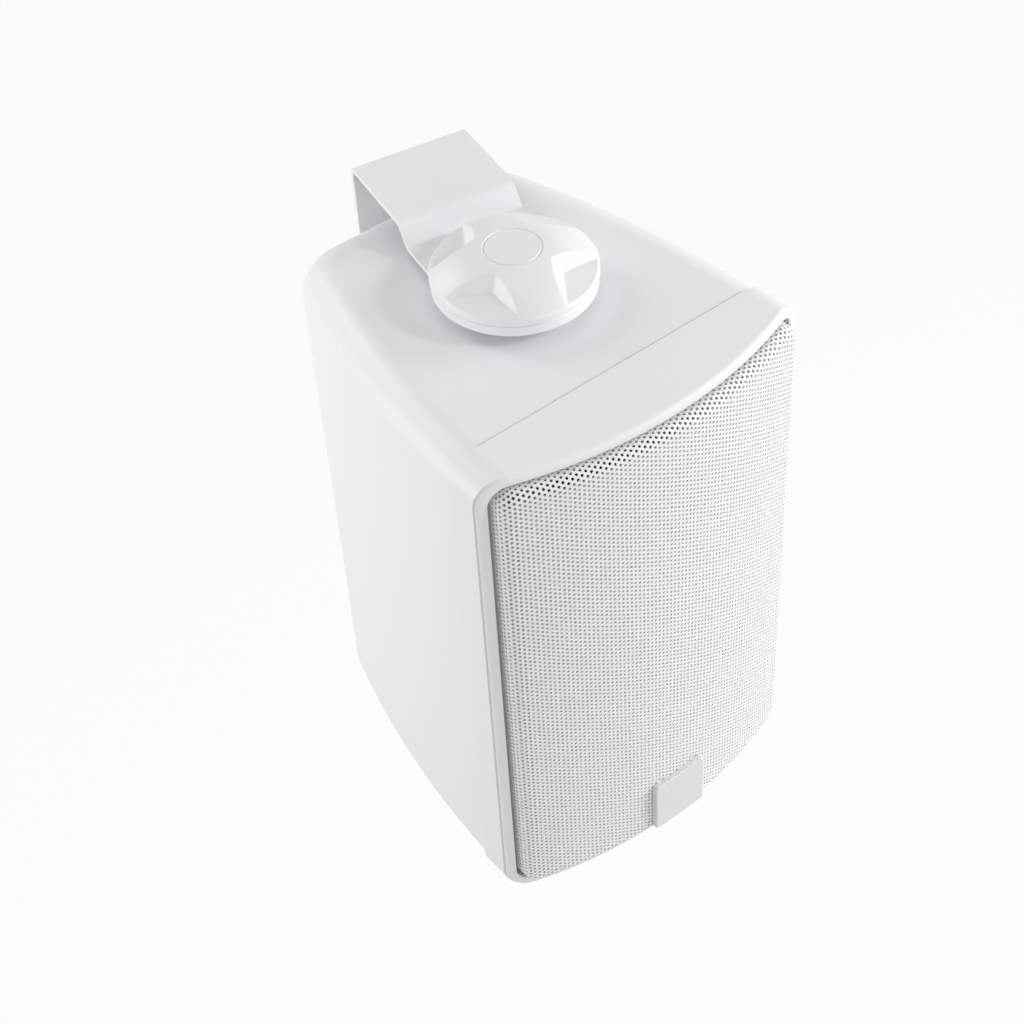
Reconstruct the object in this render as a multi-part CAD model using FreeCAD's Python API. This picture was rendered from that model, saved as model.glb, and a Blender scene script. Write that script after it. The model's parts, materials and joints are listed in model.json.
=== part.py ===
import FreeCAD, Part
import math
import os

# Compact two-way speaker held at its top and bottom by a folded wall bracket, in millimetres.
# The origin is on the bracket's wall face, +Y points into the wall and +Z is up.
# The speaker's pieces are drawn facing -Y with y = 0 at the seam behind the front moulding
# and z = 0 at mid height, and are then swung about the swivel axis to the angle they stand at.

# Speaker as a whole
SPEAKER_WIDTH = 150.0
SPEAKER_HEIGHT = 234.0
SWIVEL_ANGLE = 10.5

# Cabinet moulding: straight-looking sides that curve in towards a rounded back
CABINET_DEPTH = 132.5
CABINET_STEP = 0.45
CABINET_WALL = 3.0
CABINET_SIDE_ANGLE = 2.5
CABINET_SIDE_RADIUS = 456.0
CABINET_BACK_CORNER = 23.0
CABINET_EDGE_ROUND = 14.5
SWIVEL_AXIS_Y = 55.8

# Front moulding: a panel that carries the drivers, inside a rim with a curved front
BAFFLE_CORNER = 12.0
BAFFLE_SIDE_DEPTH = 14.7
FRONT_RADIUS = 190.0
RIM_WIDTH = 4.2
RIM_ROUND = 2.2
RIM_INNER_ROUND = 0.7
PANEL_THICKNESS = 5.0
TONGUE_DEPTH = 4.0
TONGUE_THICKNESS = 2.0
TONGUE_CLEARANCE = 0.6

# Perforated grille, the cloth behind it and the bare badge plate
GRILLE_GAP = 1.4
GRILLE_PROUD = 4.2
GRILLE_THICKNESS = 0.9
GRILLE_EDGE_ROUND = 4.5
GRILLE_PITCH = 16.0
GRILLE_HOLE = 9.6
GRILLE_MARGIN = 8.0
CLOTH_THICKNESS = 0.8
CLOTH_GAP = 0.2
CLOTH_INSET = 6.0
BADGE_WIDTH = 26.0
BADGE_HEIGHT = 27.0
BADGE_CORNER = 1.6
BADGE_PROUD = 2.4
BADGE_EDGE_ROUND = 0.6
BADGE_LIFT = 9.2
GLUE_GAP = 0.1

# Wall bracket, folded from one strip
STRIP_WIDTH = 49.0
STRIP_THICKNESS = 2.0
STRIP_BEND = 1.4
WALL_CLEARANCE = 11.8
ARM_HEIGHT = 12.0
TAB_HEIGHT = 4.2
JOGGLE_TOP = 46.0
JOGGLE_FOOT = 39.0
WALL_HOLE_RADIUS = 3.0
WALL_HOLE_SPACING = 140.0

# Clamp knobs, their studs, inserts and washers
WASHER_THICKNESS = 0.8
WASHER_RADIUS = 20.0
STUD_RADIUS = 4.0
STUD_CLEARANCE = 0.3
STUD_GRIP = 15.0
THREAD_CLEARANCE = 0.05
INSERT_RADIUS = 6.0
INSERT_LENGTH = 18.0
INSERT_BOSS_WALL = 5.0
RING_RADIUS = 31.0
RING_HEIGHT = 5.0
RING_EDGE = 0.7
KNOB_RADIUS = 31.4
KNOB_SEAM = 0.35
KNOB_RIM = 2.9
KNOB_HEIGHT = 11.3
KNOB_DISC_RADIUS = 10.7
KNOB_DISC_GROOVE = 0.5
KNOB_DOME_RISE = 1.9
KNOB_HUB_RADIUS = 9.0
SCOOP_COUNT = 4
SCOOP_START = 27.0
SCOOP_HALF_ANGLE = 61.0
SCOOP_APEX = 19.3
SCOOP_APEX_ROUND = 3.0
SCOOP_FLOOR = 2.6
SCOOP_TILT = 11.0
SCOOP_DRAFT = 0.7

# Screws: sizes with no other word in their names are radii
SCREW_HEAD = 3.0
SCREW_HEAD_HEIGHT = 2.0
SCREW_HEAD_FLAT = 2.1
SCREW_SHANK = 1.8
SCREW_LENGTH = 14.0
SCREW_FIT = 0.05
SCREW_CLEARANCE = 0.4
SCREW_BOSS_RADIUS = 6.6
SCREW_BOSS_DEPTH = 24.0

# Woofer, measured back from the face of the panel
WOOFER_SIDE_GAP = 6.8
WOOFER_EDGE_GAP = 2.6
DRIVER_GAP = 7.5
WOOFER_FLANGE = 2.0
WOOFER_SEAT = 6.5
BASKET_CLEARANCE = 1.0
BASKET_WALL = 1.8
BASKET_DEPTH = 36.0
BASKET_BASE_RADIUS = 36.0
BASKET_SHELF_RADIUS = 33.0
BASKET_SHELF_DEPTH = 28.6
BASKET_WINDOWS = 6
BASKET_WINDOW_ANGLE = 38.0
WOOFER_SCREW_EDGE = 3.8
ROLL_SETBACK = 16.0
ROLL_RADIUS = 4.0
ROLL_SKIN = 0.8
ROLL_RIM = 4.0
CONE_GAP = 0.3
CONE_THICKNESS = 1.0
CONE_DEPTH = 22.4
GASKET_THICKNESS = 1.5
DUST_CAP_RADIUS = 18.0
DUST_CAP_HEIGHT = 6.0
DUST_CAP_SKIN = 0.6
FORMER_RADIUS = 13.2
FORMER_WALL = 0.5
FORMER_REACH = 10.0
COIL_THICKNESS = 0.6
COIL_HEIGHT = 12.0
GAP_CLEARANCE = 0.5
TOP_PLATE_THICKNESS = 6.0
WOOFER_MAGNET_RADIUS = 40.0
WOOFER_MAGNET_HOLE = 21.0
WOOFER_MAGNET_HEIGHT = 15.0
YOKE_THICKNESS = 6.0
SPIDER_SKIN = 0.6
SPIDER_WAVE = 0.9
SPIDER_FOLDS = 6

# Tweeter, measured back from the face of the panel
TWEETER_EDGE_GAP = 5.5
TWEETER_PLATE = 4.0
TWEETER_HORN_RADIUS = 24.0
TWEETER_THROAT = 15.2
TWEETER_SEAT_RADIUS = 18.2
TWEETER_SEAT_DEPTH = 0.9
TWEETER_SCREW_LAND = 3.6
TWEETER_SCREW_EDGE = 3.8
TWEETER_BODY_RADIUS = 33.0
TWEETER_BODY_CLEARANCE = 0.6
DOME_RADIUS = 12.9
DOME_HEIGHT = 6.5
DOME_SKIN = 0.4
TWEETER_COIL_LENGTH = 4.6
TWEETER_PLATE_STEEL = 4.0
TWEETER_MAGNET_HEIGHT = 11.0
TWEETER_MAGNET_HOLE = 17.0
TWEETER_YOKE = 4.0

# Terminal cup in the back, with two spring levers on one pin
CUP_WIDTH = 36.0
CUP_HEIGHT = 26.0
CUP_DEPTH = 16.0
CUP_WALL = 2.0
CUP_FLANGE = 6.0
CUP_FLANGE_THICKNESS = 2.0
CUP_CLEARANCE = 0.3
CUP_CENTRE_Z = -60.0
CUP_CORNER = 4.0
LEDGE_HEIGHT = 8.5
LEDGE_DEPTH = 8.0
WIRE_HOLE = 1.6
LEVER_SPACING = 18.0
LEVER_WIDTH = 13.0
LEVER_THICKNESS = 2.0
LEVER_BARREL = 2.6
LEVER_UP = 9.0
LEVER_DOWN = 5.0
LEVER_LEAN = 18.0
PIN_RADIUS = 1.0
PIN_FIT = 0.05
PIN_DEPTH = 10.0
PIN_RISE = 2.5
PIN_ENGAGEMENT = 1.5
SPRING_WIDTH = 6.0
SPRING_THICKNESS = 0.4
SPRING_GAP = 0.3
CONTACT_WIDTH = 5.0
CONTACT_THICKNESS = 0.8
CONTACT_TAIL = 9.0

# Crossover board on posts inside the back, and the damping wadding
BOARD_WIDTH = 54.0
BOARD_HEIGHT = 84.0
BOARD_THICKNESS = 1.6
BOARD_CENTRE_Z = 42.0
BOARD_POST_HEIGHT = 6.0
BOARD_POST_RADIUS = 3.6
BOARD_POST_INSET = 4.5
INDUCTOR_RADIUS = 15.5
INDUCTOR_CORE = 7.5
INDUCTOR_HEIGHT = 14.0
SMALL_INDUCTOR_RADIUS = 8.0
SMALL_INDUCTOR_HEIGHT = 10.0
CAPACITOR_RADIUS = 6.5
CAPACITOR_LENGTH = 26.0
RESISTOR_LENGTH = 22.0
RESISTOR_SIDE = 9.0
COMPONENT_GAP = 1.5
SEAT_GAP = 0.2
WADDING_FRONT = 72.0
WADDING_THICKNESS = 20.0
WADDING_GAP = 0.4

# Places that follow from the sizes above
TINY = 1e-6
PAST = 1.0
HALF_WIDTH = SPEAKER_WIDTH / 2
HALF_HEIGHT = SPEAKER_HEIGHT / 2
CABINET_TOP = HALF_HEIGHT - CABINET_STEP
SIDE_LEAN = math.radians(CABINET_SIDE_ANGLE)
SIDE_CENTRE_X = HALF_WIDTH - CABINET_STEP - CABINET_SIDE_RADIUS * math.cos(SIDE_LEAN)
SIDE_CENTRE_Y = -CABINET_SIDE_RADIUS * math.sin(SIDE_LEAN)
INNER_BACK_Y = CABINET_DEPTH - CABINET_WALL
FRONT_CENTRE_Y = math.sqrt(FRONT_RADIUS ** 2 - HALF_WIDTH ** 2) - BAFFLE_SIDE_DEPTH
FRONT_Y = FRONT_CENTRE_Y - FRONT_RADIUS
PANEL_Y = -PANEL_THICKNESS
GRILLE_INSET = RIM_WIDTH + GRILLE_GAP
GRILLE_RADIUS = FRONT_RADIUS + GRILLE_PROUD
GRILLE_INNER_RADIUS = GRILLE_RADIUS - GRILLE_THICKNESS
GRILLE_FRONT_Y = FRONT_Y - GRILLE_PROUD
BADGE_Z = -HALF_HEIGHT + BADGE_LIFT + BADGE_HEIGHT / 2
TAB_TOP = HALF_HEIGHT + TAB_HEIGHT
TAB_UNDER = TAB_TOP - STRIP_THICKNESS
PAD_TOP = TAB_UNDER - WASHER_THICKNESS
INSERT_TOP = PAD_TOP - SEAT_GAP
AXIS_TO_WALL = CABINET_DEPTH - SWIVEL_AXIS_Y + WALL_CLEARANCE
TWEETER_SCREW_CIRCLE = TWEETER_BODY_RADIUS + TWEETER_BODY_CLEARANCE + TWEETER_SCREW_LAND
TWEETER_RADIUS = TWEETER_SCREW_CIRCLE + TWEETER_SCREW_EDGE
DRIVER_GAPS = WOOFER_EDGE_GAP + DRIVER_GAP + TWEETER_EDGE_GAP
WOOFER_SPACE = HALF_HEIGHT - RIM_WIDTH - TWEETER_RADIUS - DRIVER_GAPS / 2
WOOFER_RADIUS = min(WOOFER_SPACE, HALF_WIDTH - RIM_WIDTH - WOOFER_SIDE_GAP)
WOOFER_CUTOUT = WOOFER_RADIUS - WOOFER_SEAT
WOOFER_SCREW_CIRCLE = WOOFER_RADIUS - WOOFER_SCREW_EDGE
ROLL_CENTRE = WOOFER_RADIUS - ROLL_SETBACK
WOOFER_Z = -HALF_HEIGHT + RIM_WIDTH + WOOFER_EDGE_GAP + WOOFER_RADIUS
TWEETER_Z = HALF_HEIGHT - RIM_WIDTH - TWEETER_EDGE_GAP - TWEETER_RADIUS
BASKET_TOP_RADIUS = WOOFER_CUTOUT - BASKET_CLEARANCE
CONE_RADIUS = ROLL_CENTRE - ROLL_RADIUS - CONE_GAP
CONE_NECK = FORMER_RADIUS + GLUE_GAP
CONE_EDGE_DEPTH = -WOOFER_FLANGE - CONE_THICKNESS / 2
GAP_RADIUS = FORMER_RADIUS + COIL_THICKNESS + GAP_CLEARANCE
POLE_RADIUS = FORMER_RADIUS - FORMER_WALL - GAP_CLEARANCE
MAGNET_DEPTH = BASKET_DEPTH + TOP_PLATE_THICKNESS
YOKE_DEPTH = MAGNET_DEPTH + WOOFER_MAGNET_HEIGHT
DOME_BASE_DEPTH = -GLUE_GAP
TWEETER_COIL_INNER = DOME_RADIUS - DOME_SKIN
TWEETER_YOKE_DEPTH = TWEETER_PLATE_STEEL + TWEETER_MAGNET_HEIGHT
CUP_FLOOR_Y = CABINET_DEPTH + CUP_FLANGE_THICKNESS - CUP_DEPTH
PIN_Y = CABINET_DEPTH + CUP_FLANGE_THICKNESS - PIN_DEPTH
PIN_Z = CUP_CENTRE_Z + PIN_RISE
LEVER_X = LEVER_SPACING / 2
LEDGE_TOP_Z = CUP_CENTRE_Z - CUP_HEIGHT / 2 + LEDGE_HEIGHT
BOARD_BACK_Y = INNER_BACK_Y - BOARD_POST_HEIGHT
BOARD_FRONT_Y = BOARD_BACK_Y - BOARD_THICKNESS


def vec(x, y, z):
    return FreeCAD.Vector(x, y, z)


X_AXIS = vec(1, 0, 0)
Y_AXIS = vec(0, 1, 0)
Z_AXIS = vec(0, 0, 1)
ORIGIN = vec(0, 0, 0)


def moved(shape, x, y, z):
    copy = shape.copy()
    copy.translate(vec(x, y, z))
    return copy


def rod_y(radius, y_from, y_to, x=0.0, z=0.0):
    return Part.makeCylinder(radius, y_to - y_from, vec(x, y_from, z), Y_AXIS)


def rod_z(radius, z_from, z_to, x=0.0, y=0.0):
    return Part.makeCylinder(radius, z_to - z_from, vec(x, y, z_from), Z_AXIS)


def block(x_from, x_to, y_from, y_to, z_from, z_to):
    size = (x_to - x_from, y_to - y_from, z_to - z_from)
    return Part.makeBox(*size, vec(x_from, y_from, z_from))


def profile_face(steps):
    """Face in the XY plane: a step is a point to go straight to, or the (middle, end) of an arc."""
    first = vec(*steps[0], 0)
    here = first
    edges = []
    for step in steps[1:]:
        if isinstance(step[0], tuple):
            end = vec(*step[1], 0)
            edges.append(Part.Arc(here, vec(*step[0], 0), end).toShape())
        else:
            end = vec(*step, 0)
            edges.append(Part.makeLine(here, end))
        here = end
    if here.distanceToPoint(first) > TINY:
        edges.append(Part.makeLine(here, first))
    return Part.Face(Part.Wire(edges))


def turned_y(steps, y=0.0, z=0.0):
    """Solid turned about the Y direction from (radius, depth) steps."""
    return moved(profile_face(steps).revolve(ORIGIN, Y_AXIS, 360), 0, y, z)


def turned_z(steps):
    """Solid turned about the Z axis from (radius, height) steps."""
    face = profile_face(steps)
    face.rotate(ORIGIN, X_AXIS, 90)
    return face.revolve(ORIGIN, Z_AXIS, 360)


def rounded_wire(corners, lift):
    """Closed wire through (u, v, radius) corners, each rounded; lift turns (u, v) into a point."""
    edges = []
    joins = []
    for i, (u, v, radius) in enumerate(corners):
        here = vec(u, v, 0)
        back = vec(*corners[i - 1][:2], 0) - here
        ahead = vec(*corners[(i + 1) % len(corners)][:2], 0) - here
        if radius < TINY:
            joins.append((here, None, here))
            continue
        half = back.getAngle(ahead) / 2
        reach = radius / math.tan(half)
        middle = back.normalize() + ahead.normalize()
        middle = here + middle.normalize() * (radius / math.sin(half) - radius)
        joins.append((here + back * reach, middle, here + ahead * reach))
    for i, (enter, middle, leave) in enumerate(joins):
        before = joins[i - 1][2]
        if before.distanceToPoint(enter) > TINY:
            edges.append(Part.makeLine(lift(before), lift(enter)))
        if middle is not None:
            edges.append(Part.Arc(lift(enter), lift(middle), lift(leave)).toShape())
    return Part.Wire(edges)


def rounded_prism(half_width, half_height, radius, y_from, y_to, z=0.0):
    """Rounded rectangle seen from the front, carried along Y."""
    signs = ((1, 1), (-1, 1), (-1, -1), (1, -1))
    corners = [(sx * half_width, sz * half_height, radius) for sx, sz in signs]
    wire = rounded_wire(corners, lambda p: vec(p.x, y_from, z + p.y))
    return Part.Face(wire).extrude(vec(0, y_to - y_from, 0))


def fold_strip(path, thickness, bend):
    """Rounded corners of a folded strip seen from the side: it lies on the right of its path."""
    points = [vec(u, v, 0) for u, v in path]
    normals = []
    for start, end in zip(points, points[1:]):
        along = (end - start).normalize()
        normals.append(vec(along.y, -along.x, 0))
    outer = []
    inner = []
    for i, point in enumerate(points):
        before = normals[max(i - 1, 0)]
        after = normals[min(i, len(normals) - 1)]
        shift = (before + after) * (thickness / (1 + before.dot(after)))
        side = before.x * after.y - before.y * after.x
        ends = i in (0, len(points) - 1)
        outer_bend = 0.0 if ends else bend + (thickness if side < 0 else 0)
        inner_bend = 0.0 if ends else bend + (thickness if side > 0 else 0)
        outer.append((point.x, point.y, outer_bend))
        inner.append((point.x + shift.x, point.y + shift.y, inner_bend))
    return outer + inner[::-1]


def dome_steps(radius, rim, height, skin):
    """Steps of a shallow domed shell whose middle stands forward of its rim."""
    def cap(base, rise):
        ball = (base ** 2 + rise ** 2) / (2 * rise)
        half = base / 2
        return half, rim - rise + ball - math.sqrt(ball ** 2 - half ** 2)

    outer = cap(radius, height)
    inner = cap(radius - skin, height - skin)
    return [(0, rim - height), (outer, (radius, rim)), (radius - skin, rim),
            (inner, (0, rim - height + skin))]


def screw_y(x, y, z, length=SCREW_LENGTH):
    """Pan-head screw driven along +Y with the underside of its head at y."""
    steps = [(0, -SCREW_HEAD_HEIGHT), (SCREW_HEAD_FLAT, -SCREW_HEAD_HEIGHT),
             (SCREW_HEAD, -SCREW_HEAD_HEIGHT / 2), (SCREW_HEAD, 0), (SCREW_SHANK, 0),
             (SCREW_SHANK, length - SCREW_SHANK), (0, length)]
    return moved(turned_y(steps), x, y, z)


def circle_places(radius, count, start, z):
    """Places (x, z) evenly spaced on a circle about (0, z)."""
    angles = [math.radians(start + 360 / count * i) for i in range(count)]
    return [(radius * math.cos(a), z + radius * math.sin(a)) for a in angles]


def baffle_screw_places():
    """Four screws near the corners and one at mid height on each side."""
    inner_width = HALF_WIDTH - CABINET_STEP - CABINET_WALL
    inner_height = CABINET_TOP - CABINET_WALL
    corner = (CABINET_EDGE_ROUND - CABINET_WALL - SCREW_BOSS_RADIUS + SEAT_GAP) / math.sqrt(2)
    bend = CABINET_EDGE_ROUND - CABINET_WALL
    x = inner_width - bend + corner
    z = inner_height - bend + corner
    side = inner_width - SCREW_BOSS_RADIUS + SEAT_GAP
    middle = (WOOFER_Z + WOOFER_RADIUS + TWEETER_Z - TWEETER_RADIUS) / 2
    return [(sx * x, sz * z) for sx in (-1, 1) for sz in (-1, 1)] + [(-side, middle), (side, middle)]


def woofer_screw_places():
    return circle_places(WOOFER_SCREW_CIRCLE, 4, 45, WOOFER_Z)


def tweeter_screw_places():
    return circle_places(TWEETER_SCREW_CIRCLE, 4, 45, TWEETER_Z)


def cup_screw_places():
    x = CUP_WIDTH / 2 + CUP_WALL + CUP_FLANGE / 2
    z = CUP_HEIGHT / 2 + CUP_WALL + CUP_FLANGE / 2
    return [(sx * x, CUP_CENTRE_Z + sz * z) for sx in (-1, 1) for sz in (-1, 1)]


def board_screw_places():
    x = BOARD_WIDTH / 2 - BOARD_POST_INSET
    z = BOARD_HEIGHT / 2 - BOARD_POST_INSET
    return [(sx * x, BOARD_CENTRE_Z + sz * z) for sx in (-1, 1) for sz in (-1, 1)]


def cabinet_plan(inset, front_y):
    """Plan outline of the cabinet, inset all round and cut off straight at front_y."""
    side = CABINET_SIDE_RADIUS - inset
    corner = CABINET_BACK_CORNER - inset
    corner_y = CABINET_DEPTH - CABINET_BACK_CORNER
    span = CABINET_SIDE_RADIUS - CABINET_BACK_CORNER
    corner_x = SIDE_CENTRE_X + math.sqrt(span ** 2 - (corner_y - SIDE_CENTRE_Y) ** 2)
    turn = math.atan2(corner_y - SIDE_CENTRE_Y, corner_x - SIDE_CENTRE_X)

    def on_side(y):
        return SIDE_CENTRE_X + math.sqrt(side ** 2 - (y - SIDE_CENTRE_Y) ** 2), y

    half_turn = (turn + math.pi / 2) / 2
    meet = (corner_x + corner * math.cos(turn), corner_y + corner * math.sin(turn))
    bulge = (corner_x + corner * math.cos(half_turn), corner_y + corner * math.sin(half_turn))
    back = (corner_x, corner_y + corner)
    right = [on_side(front_y), on_side((front_y + meet[1]) / 2), meet, bulge, back]
    left = [(-x, y) for x, y in right]
    return profile_face([right[0], (right[1], right[2]), (right[3], right[4]),
                         left[4], (left[3], left[2]), (left[1], left[0])])


def cabinet_form(inset, front_y):
    """The cabinet's outer form, or with an inset the hollow inside it, its long edges rounded."""
    half = CABINET_TOP - inset
    face = cabinet_plan(inset, front_y)
    face.translate(vec(0, 0, -half))
    form = face.extrude(vec(0, 0, 2 * half))
    long_edges = []
    for edge in form.Edges:
        box = edge.BoundBox
        level = box.ZMax - box.ZMin < TINY
        if level and box.YMax - front_y > TINY:
            long_edges.append(edge)
    return form.makeFillet(CABINET_EDGE_ROUND - inset, long_edges)


def make_cabinet():
    outer = cabinet_form(0, 0)
    cabinet = outer.cut(cabinet_form(CABINET_WALL, -PAST))
    bosses = [rod_y(SCREW_BOSS_RADIUS, 0, SCREW_BOSS_DEPTH, x, z) for x, z in baffle_screw_places()]
    bosses += [rod_y(BOARD_POST_RADIUS, BOARD_BACK_Y, CABINET_DEPTH - CABINET_WALL / 2, x, z)
               for x, z in board_screw_places()]
    boss_radius = INSERT_RADIUS + INSERT_BOSS_WALL
    boss_end = INSERT_TOP - INSERT_LENGTH - INSERT_BOSS_WALL
    bosses += [rod_z(boss_radius, boss_end, CABINET_TOP - CABINET_WALL / 2, 0, SWIVEL_AXIS_Y),
               rod_z(boss_radius, CABINET_WALL / 2 - CABINET_TOP, -boss_end, 0, SWIVEL_AXIS_Y)]
    cabinet = cabinet.fuse([boss.common(outer) for boss in bosses])
    pads = [rod_z(WASHER_RADIUS, CABINET_TOP - CABINET_WALL / 2, PAD_TOP, 0, SWIVEL_AXIS_Y),
            rod_z(WASHER_RADIUS, -PAD_TOP, CABINET_WALL / 2 - CABINET_TOP, 0, SWIVEL_AXIS_Y)]
    cabinet = cabinet.fuse(pads)
    insert_hole = INSERT_RADIUS + SCREW_FIT
    insert_end = INSERT_TOP - INSERT_LENGTH
    cuts = [rod_z(insert_hole, insert_end, PAD_TOP + PAST, 0, SWIVEL_AXIS_Y),
            rod_z(insert_hole, -PAD_TOP - PAST, -insert_end, 0, SWIVEL_AXIS_Y)]
    pilot = SCREW_SHANK + SCREW_FIT
    cuts += [rod_y(pilot, -PAST, SCREW_BOSS_DEPTH - PAST, x, z) for x, z in baffle_screw_places()]
    cuts += [rod_y(pilot, BOARD_BACK_Y - PAST, INNER_BACK_Y, x, z) for x, z in board_screw_places()]
    cuts += [rod_y(pilot, INNER_BACK_Y - PAST, CABINET_DEPTH + PAST, x, z) for x, z in cup_screw_places()]
    cuts.append(rounded_prism(CUP_WIDTH / 2 + CUP_WALL + CUP_CLEARANCE,
                              CUP_HEIGHT / 2 + CUP_WALL + CUP_CLEARANCE, CUP_CORNER,
                              INNER_BACK_Y - PAST, CABINET_DEPTH + PAST, CUP_CENTRE_Z))
    return cabinet.cut(cuts).removeSplitter()


def front_form(inset, radius, back_y, edge_round):
    """Front outline inset all round, from back_y to a curved front of the given radius."""
    prism = rounded_prism(HALF_WIDTH - inset, HALF_HEIGHT - inset, BAFFLE_CORNER - inset,
                          FRONT_CENTRE_Y - radius - PAST, back_y)
    form = prism.common(rod_z(radius, -SPEAKER_HEIGHT, SPEAKER_HEIGHT, 0, FRONT_CENTRE_Y))
    if edge_round > 0:
        form = form.makeFillet(edge_round, curved_front(form, radius).Edges)
    return form


def curved_front(form, radius):
    """The face of a form that lies on the upright front cylinder."""
    for face in form.Faces:
        if isinstance(face.Surface, Part.Cylinder) and abs(face.Surface.Radius - radius) < TINY:
            return face


def make_front_baffle():
    pocket = rounded_prism(HALF_WIDTH - RIM_WIDTH, HALF_HEIGHT - RIM_WIDTH, BAFFLE_CORNER - RIM_WIDTH,
                           FRONT_Y - PAST, PANEL_Y)
    baffle = front_form(0, FRONT_RADIUS, 0, RIM_ROUND).cut(pocket)
    inner_edges = curved_front(baffle, FRONT_RADIUS).Wires[1].Edges
    baffle = baffle.makeFillet(RIM_INNER_ROUND, inner_edges)
    gap = CABINET_STEP + CABINET_WALL + TONGUE_CLEARANCE
    bend = CABINET_EDGE_ROUND - CABINET_WALL - TONGUE_CLEARANCE
    half_x = HALF_WIDTH - gap
    half_z = HALF_HEIGHT - gap
    wall = TONGUE_THICKNESS
    tongue = rounded_prism(half_x, half_z, bend, -PAST, TONGUE_DEPTH)
    tongue = tongue.cut(rounded_prism(half_x - wall, half_z - wall, bend - wall,
                                      -2 * PAST, TONGUE_DEPTH + PAST))
    tongue = tongue.cut([rod_y(SCREW_BOSS_RADIUS + TONGUE_CLEARANCE, 0, TONGUE_DEPTH + PAST, x, z)
                         for x, z in baffle_screw_places()])
    baffle = baffle.fuse(tongue)
    cuts = [rod_y(WOOFER_CUTOUT, PANEL_Y - PAST, PAST, 0, WOOFER_Z),
            rod_y(TWEETER_BODY_RADIUS + TWEETER_BODY_CLEARANCE, PANEL_Y - PAST, PAST, 0, TWEETER_Z)]
    loose = SCREW_SHANK + SCREW_CLEARANCE
    pilot = SCREW_SHANK + SCREW_FIT
    cuts += [rod_y(loose, PANEL_Y - PAST, PAST, x, z) for x, z in baffle_screw_places()]
    driver_screws = woofer_screw_places() + tweeter_screw_places()
    cuts += [rod_y(pilot, PANEL_Y - PAST, PAST, x, z) for x, z in driver_screws]
    return baffle.cut(cuts).removeSplitter()


def grille_hole_places():
    """Staggered places in upright columns, clear of the bent edges and of the badge."""
    reach_x = HALF_WIDTH - GRILLE_INSET - GRILLE_MARGIN - GRILLE_HOLE / 2
    reach_z = HALF_HEIGHT - GRILLE_INSET - GRILLE_MARGIN - GRILLE_HOLE / 2
    column = GRILLE_PITCH * math.sin(math.radians(60))
    columns = int(reach_x / column)
    places = []
    for i in range(-columns, columns + 1):
        shift = GRILLE_PITCH / 2 if i % 2 else 0.0
        rows = int((reach_z - shift) / GRILLE_PITCH)
        for j in range(-rows - (1 if shift else 0), rows + 1):
            x = i * column
            z = shift + j * GRILLE_PITCH
            beside = abs(x) > BADGE_WIDTH / 2 + GRILLE_HOLE / 2
            if beside or z > BADGE_Z + BADGE_HEIGHT / 2 + GRILLE_HOLE / 2:
                places.append((x, z))
    return places


def make_grille():
    outer = front_form(GRILLE_INSET, GRILLE_RADIUS, PANEL_Y, GRILLE_EDGE_ROUND)
    inner = front_form(GRILLE_INSET + GRILLE_THICKNESS, GRILLE_INNER_RADIUS, PANEL_Y + PAST,
                       GRILLE_EDGE_ROUND - GRILLE_THICKNESS)
    sheet = outer.cut(inner)
    edge_y = FRONT_CENTRE_Y - math.sqrt(GRILLE_INNER_RADIUS ** 2 - HALF_WIDTH ** 2)
    start_y = GRILLE_FRONT_Y - PAST
    hexagon = [vec(x, start_y, z) for x, z in circle_places(GRILLE_HOLE / 2, 6, 0, 0)]
    punch = Part.Face(Part.makePolygon(hexagon + hexagon[:1])).extrude(vec(0, edge_y - start_y, 0))
    return sheet.cut([moved(punch, x, 0, z) for x, z in grille_hole_places()])


def make_grille_cloth():
    inset = GRILLE_INSET + CLOTH_INSET
    prism = rounded_prism(HALF_WIDTH - inset, HALF_HEIGHT - inset, CLOTH_INSET, GRILLE_FRONT_Y, 0)
    face_radius = GRILLE_INNER_RADIUS - CLOTH_GAP
    sheet = rod_z(face_radius, -HALF_HEIGHT, HALF_HEIGHT, 0, FRONT_CENTRE_Y)
    hollow = rod_z(face_radius - CLOTH_THICKNESS, -SPEAKER_HEIGHT, SPEAKER_HEIGHT, 0, FRONT_CENTRE_Y)
    return prism.common(sheet.cut(hollow))


def make_badge():
    face_y = GRILLE_FRONT_Y - BADGE_PROUD
    plate = rounded_prism(BADGE_WIDTH / 2, BADGE_HEIGHT / 2, BADGE_CORNER,
                          face_y, GRILLE_FRONT_Y + BADGE_PROUD, BADGE_Z)
    rim = [edge for edge in plate.Edges if edge.BoundBox.YMax - face_y < TINY]
    plate = plate.makeFillet(BADGE_EDGE_ROUND, rim)
    return plate.cut(rod_z(GRILLE_RADIUS + GLUE_GAP, -SPEAKER_HEIGHT, SPEAKER_HEIGHT, 0, FRONT_CENTRE_Y))


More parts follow.
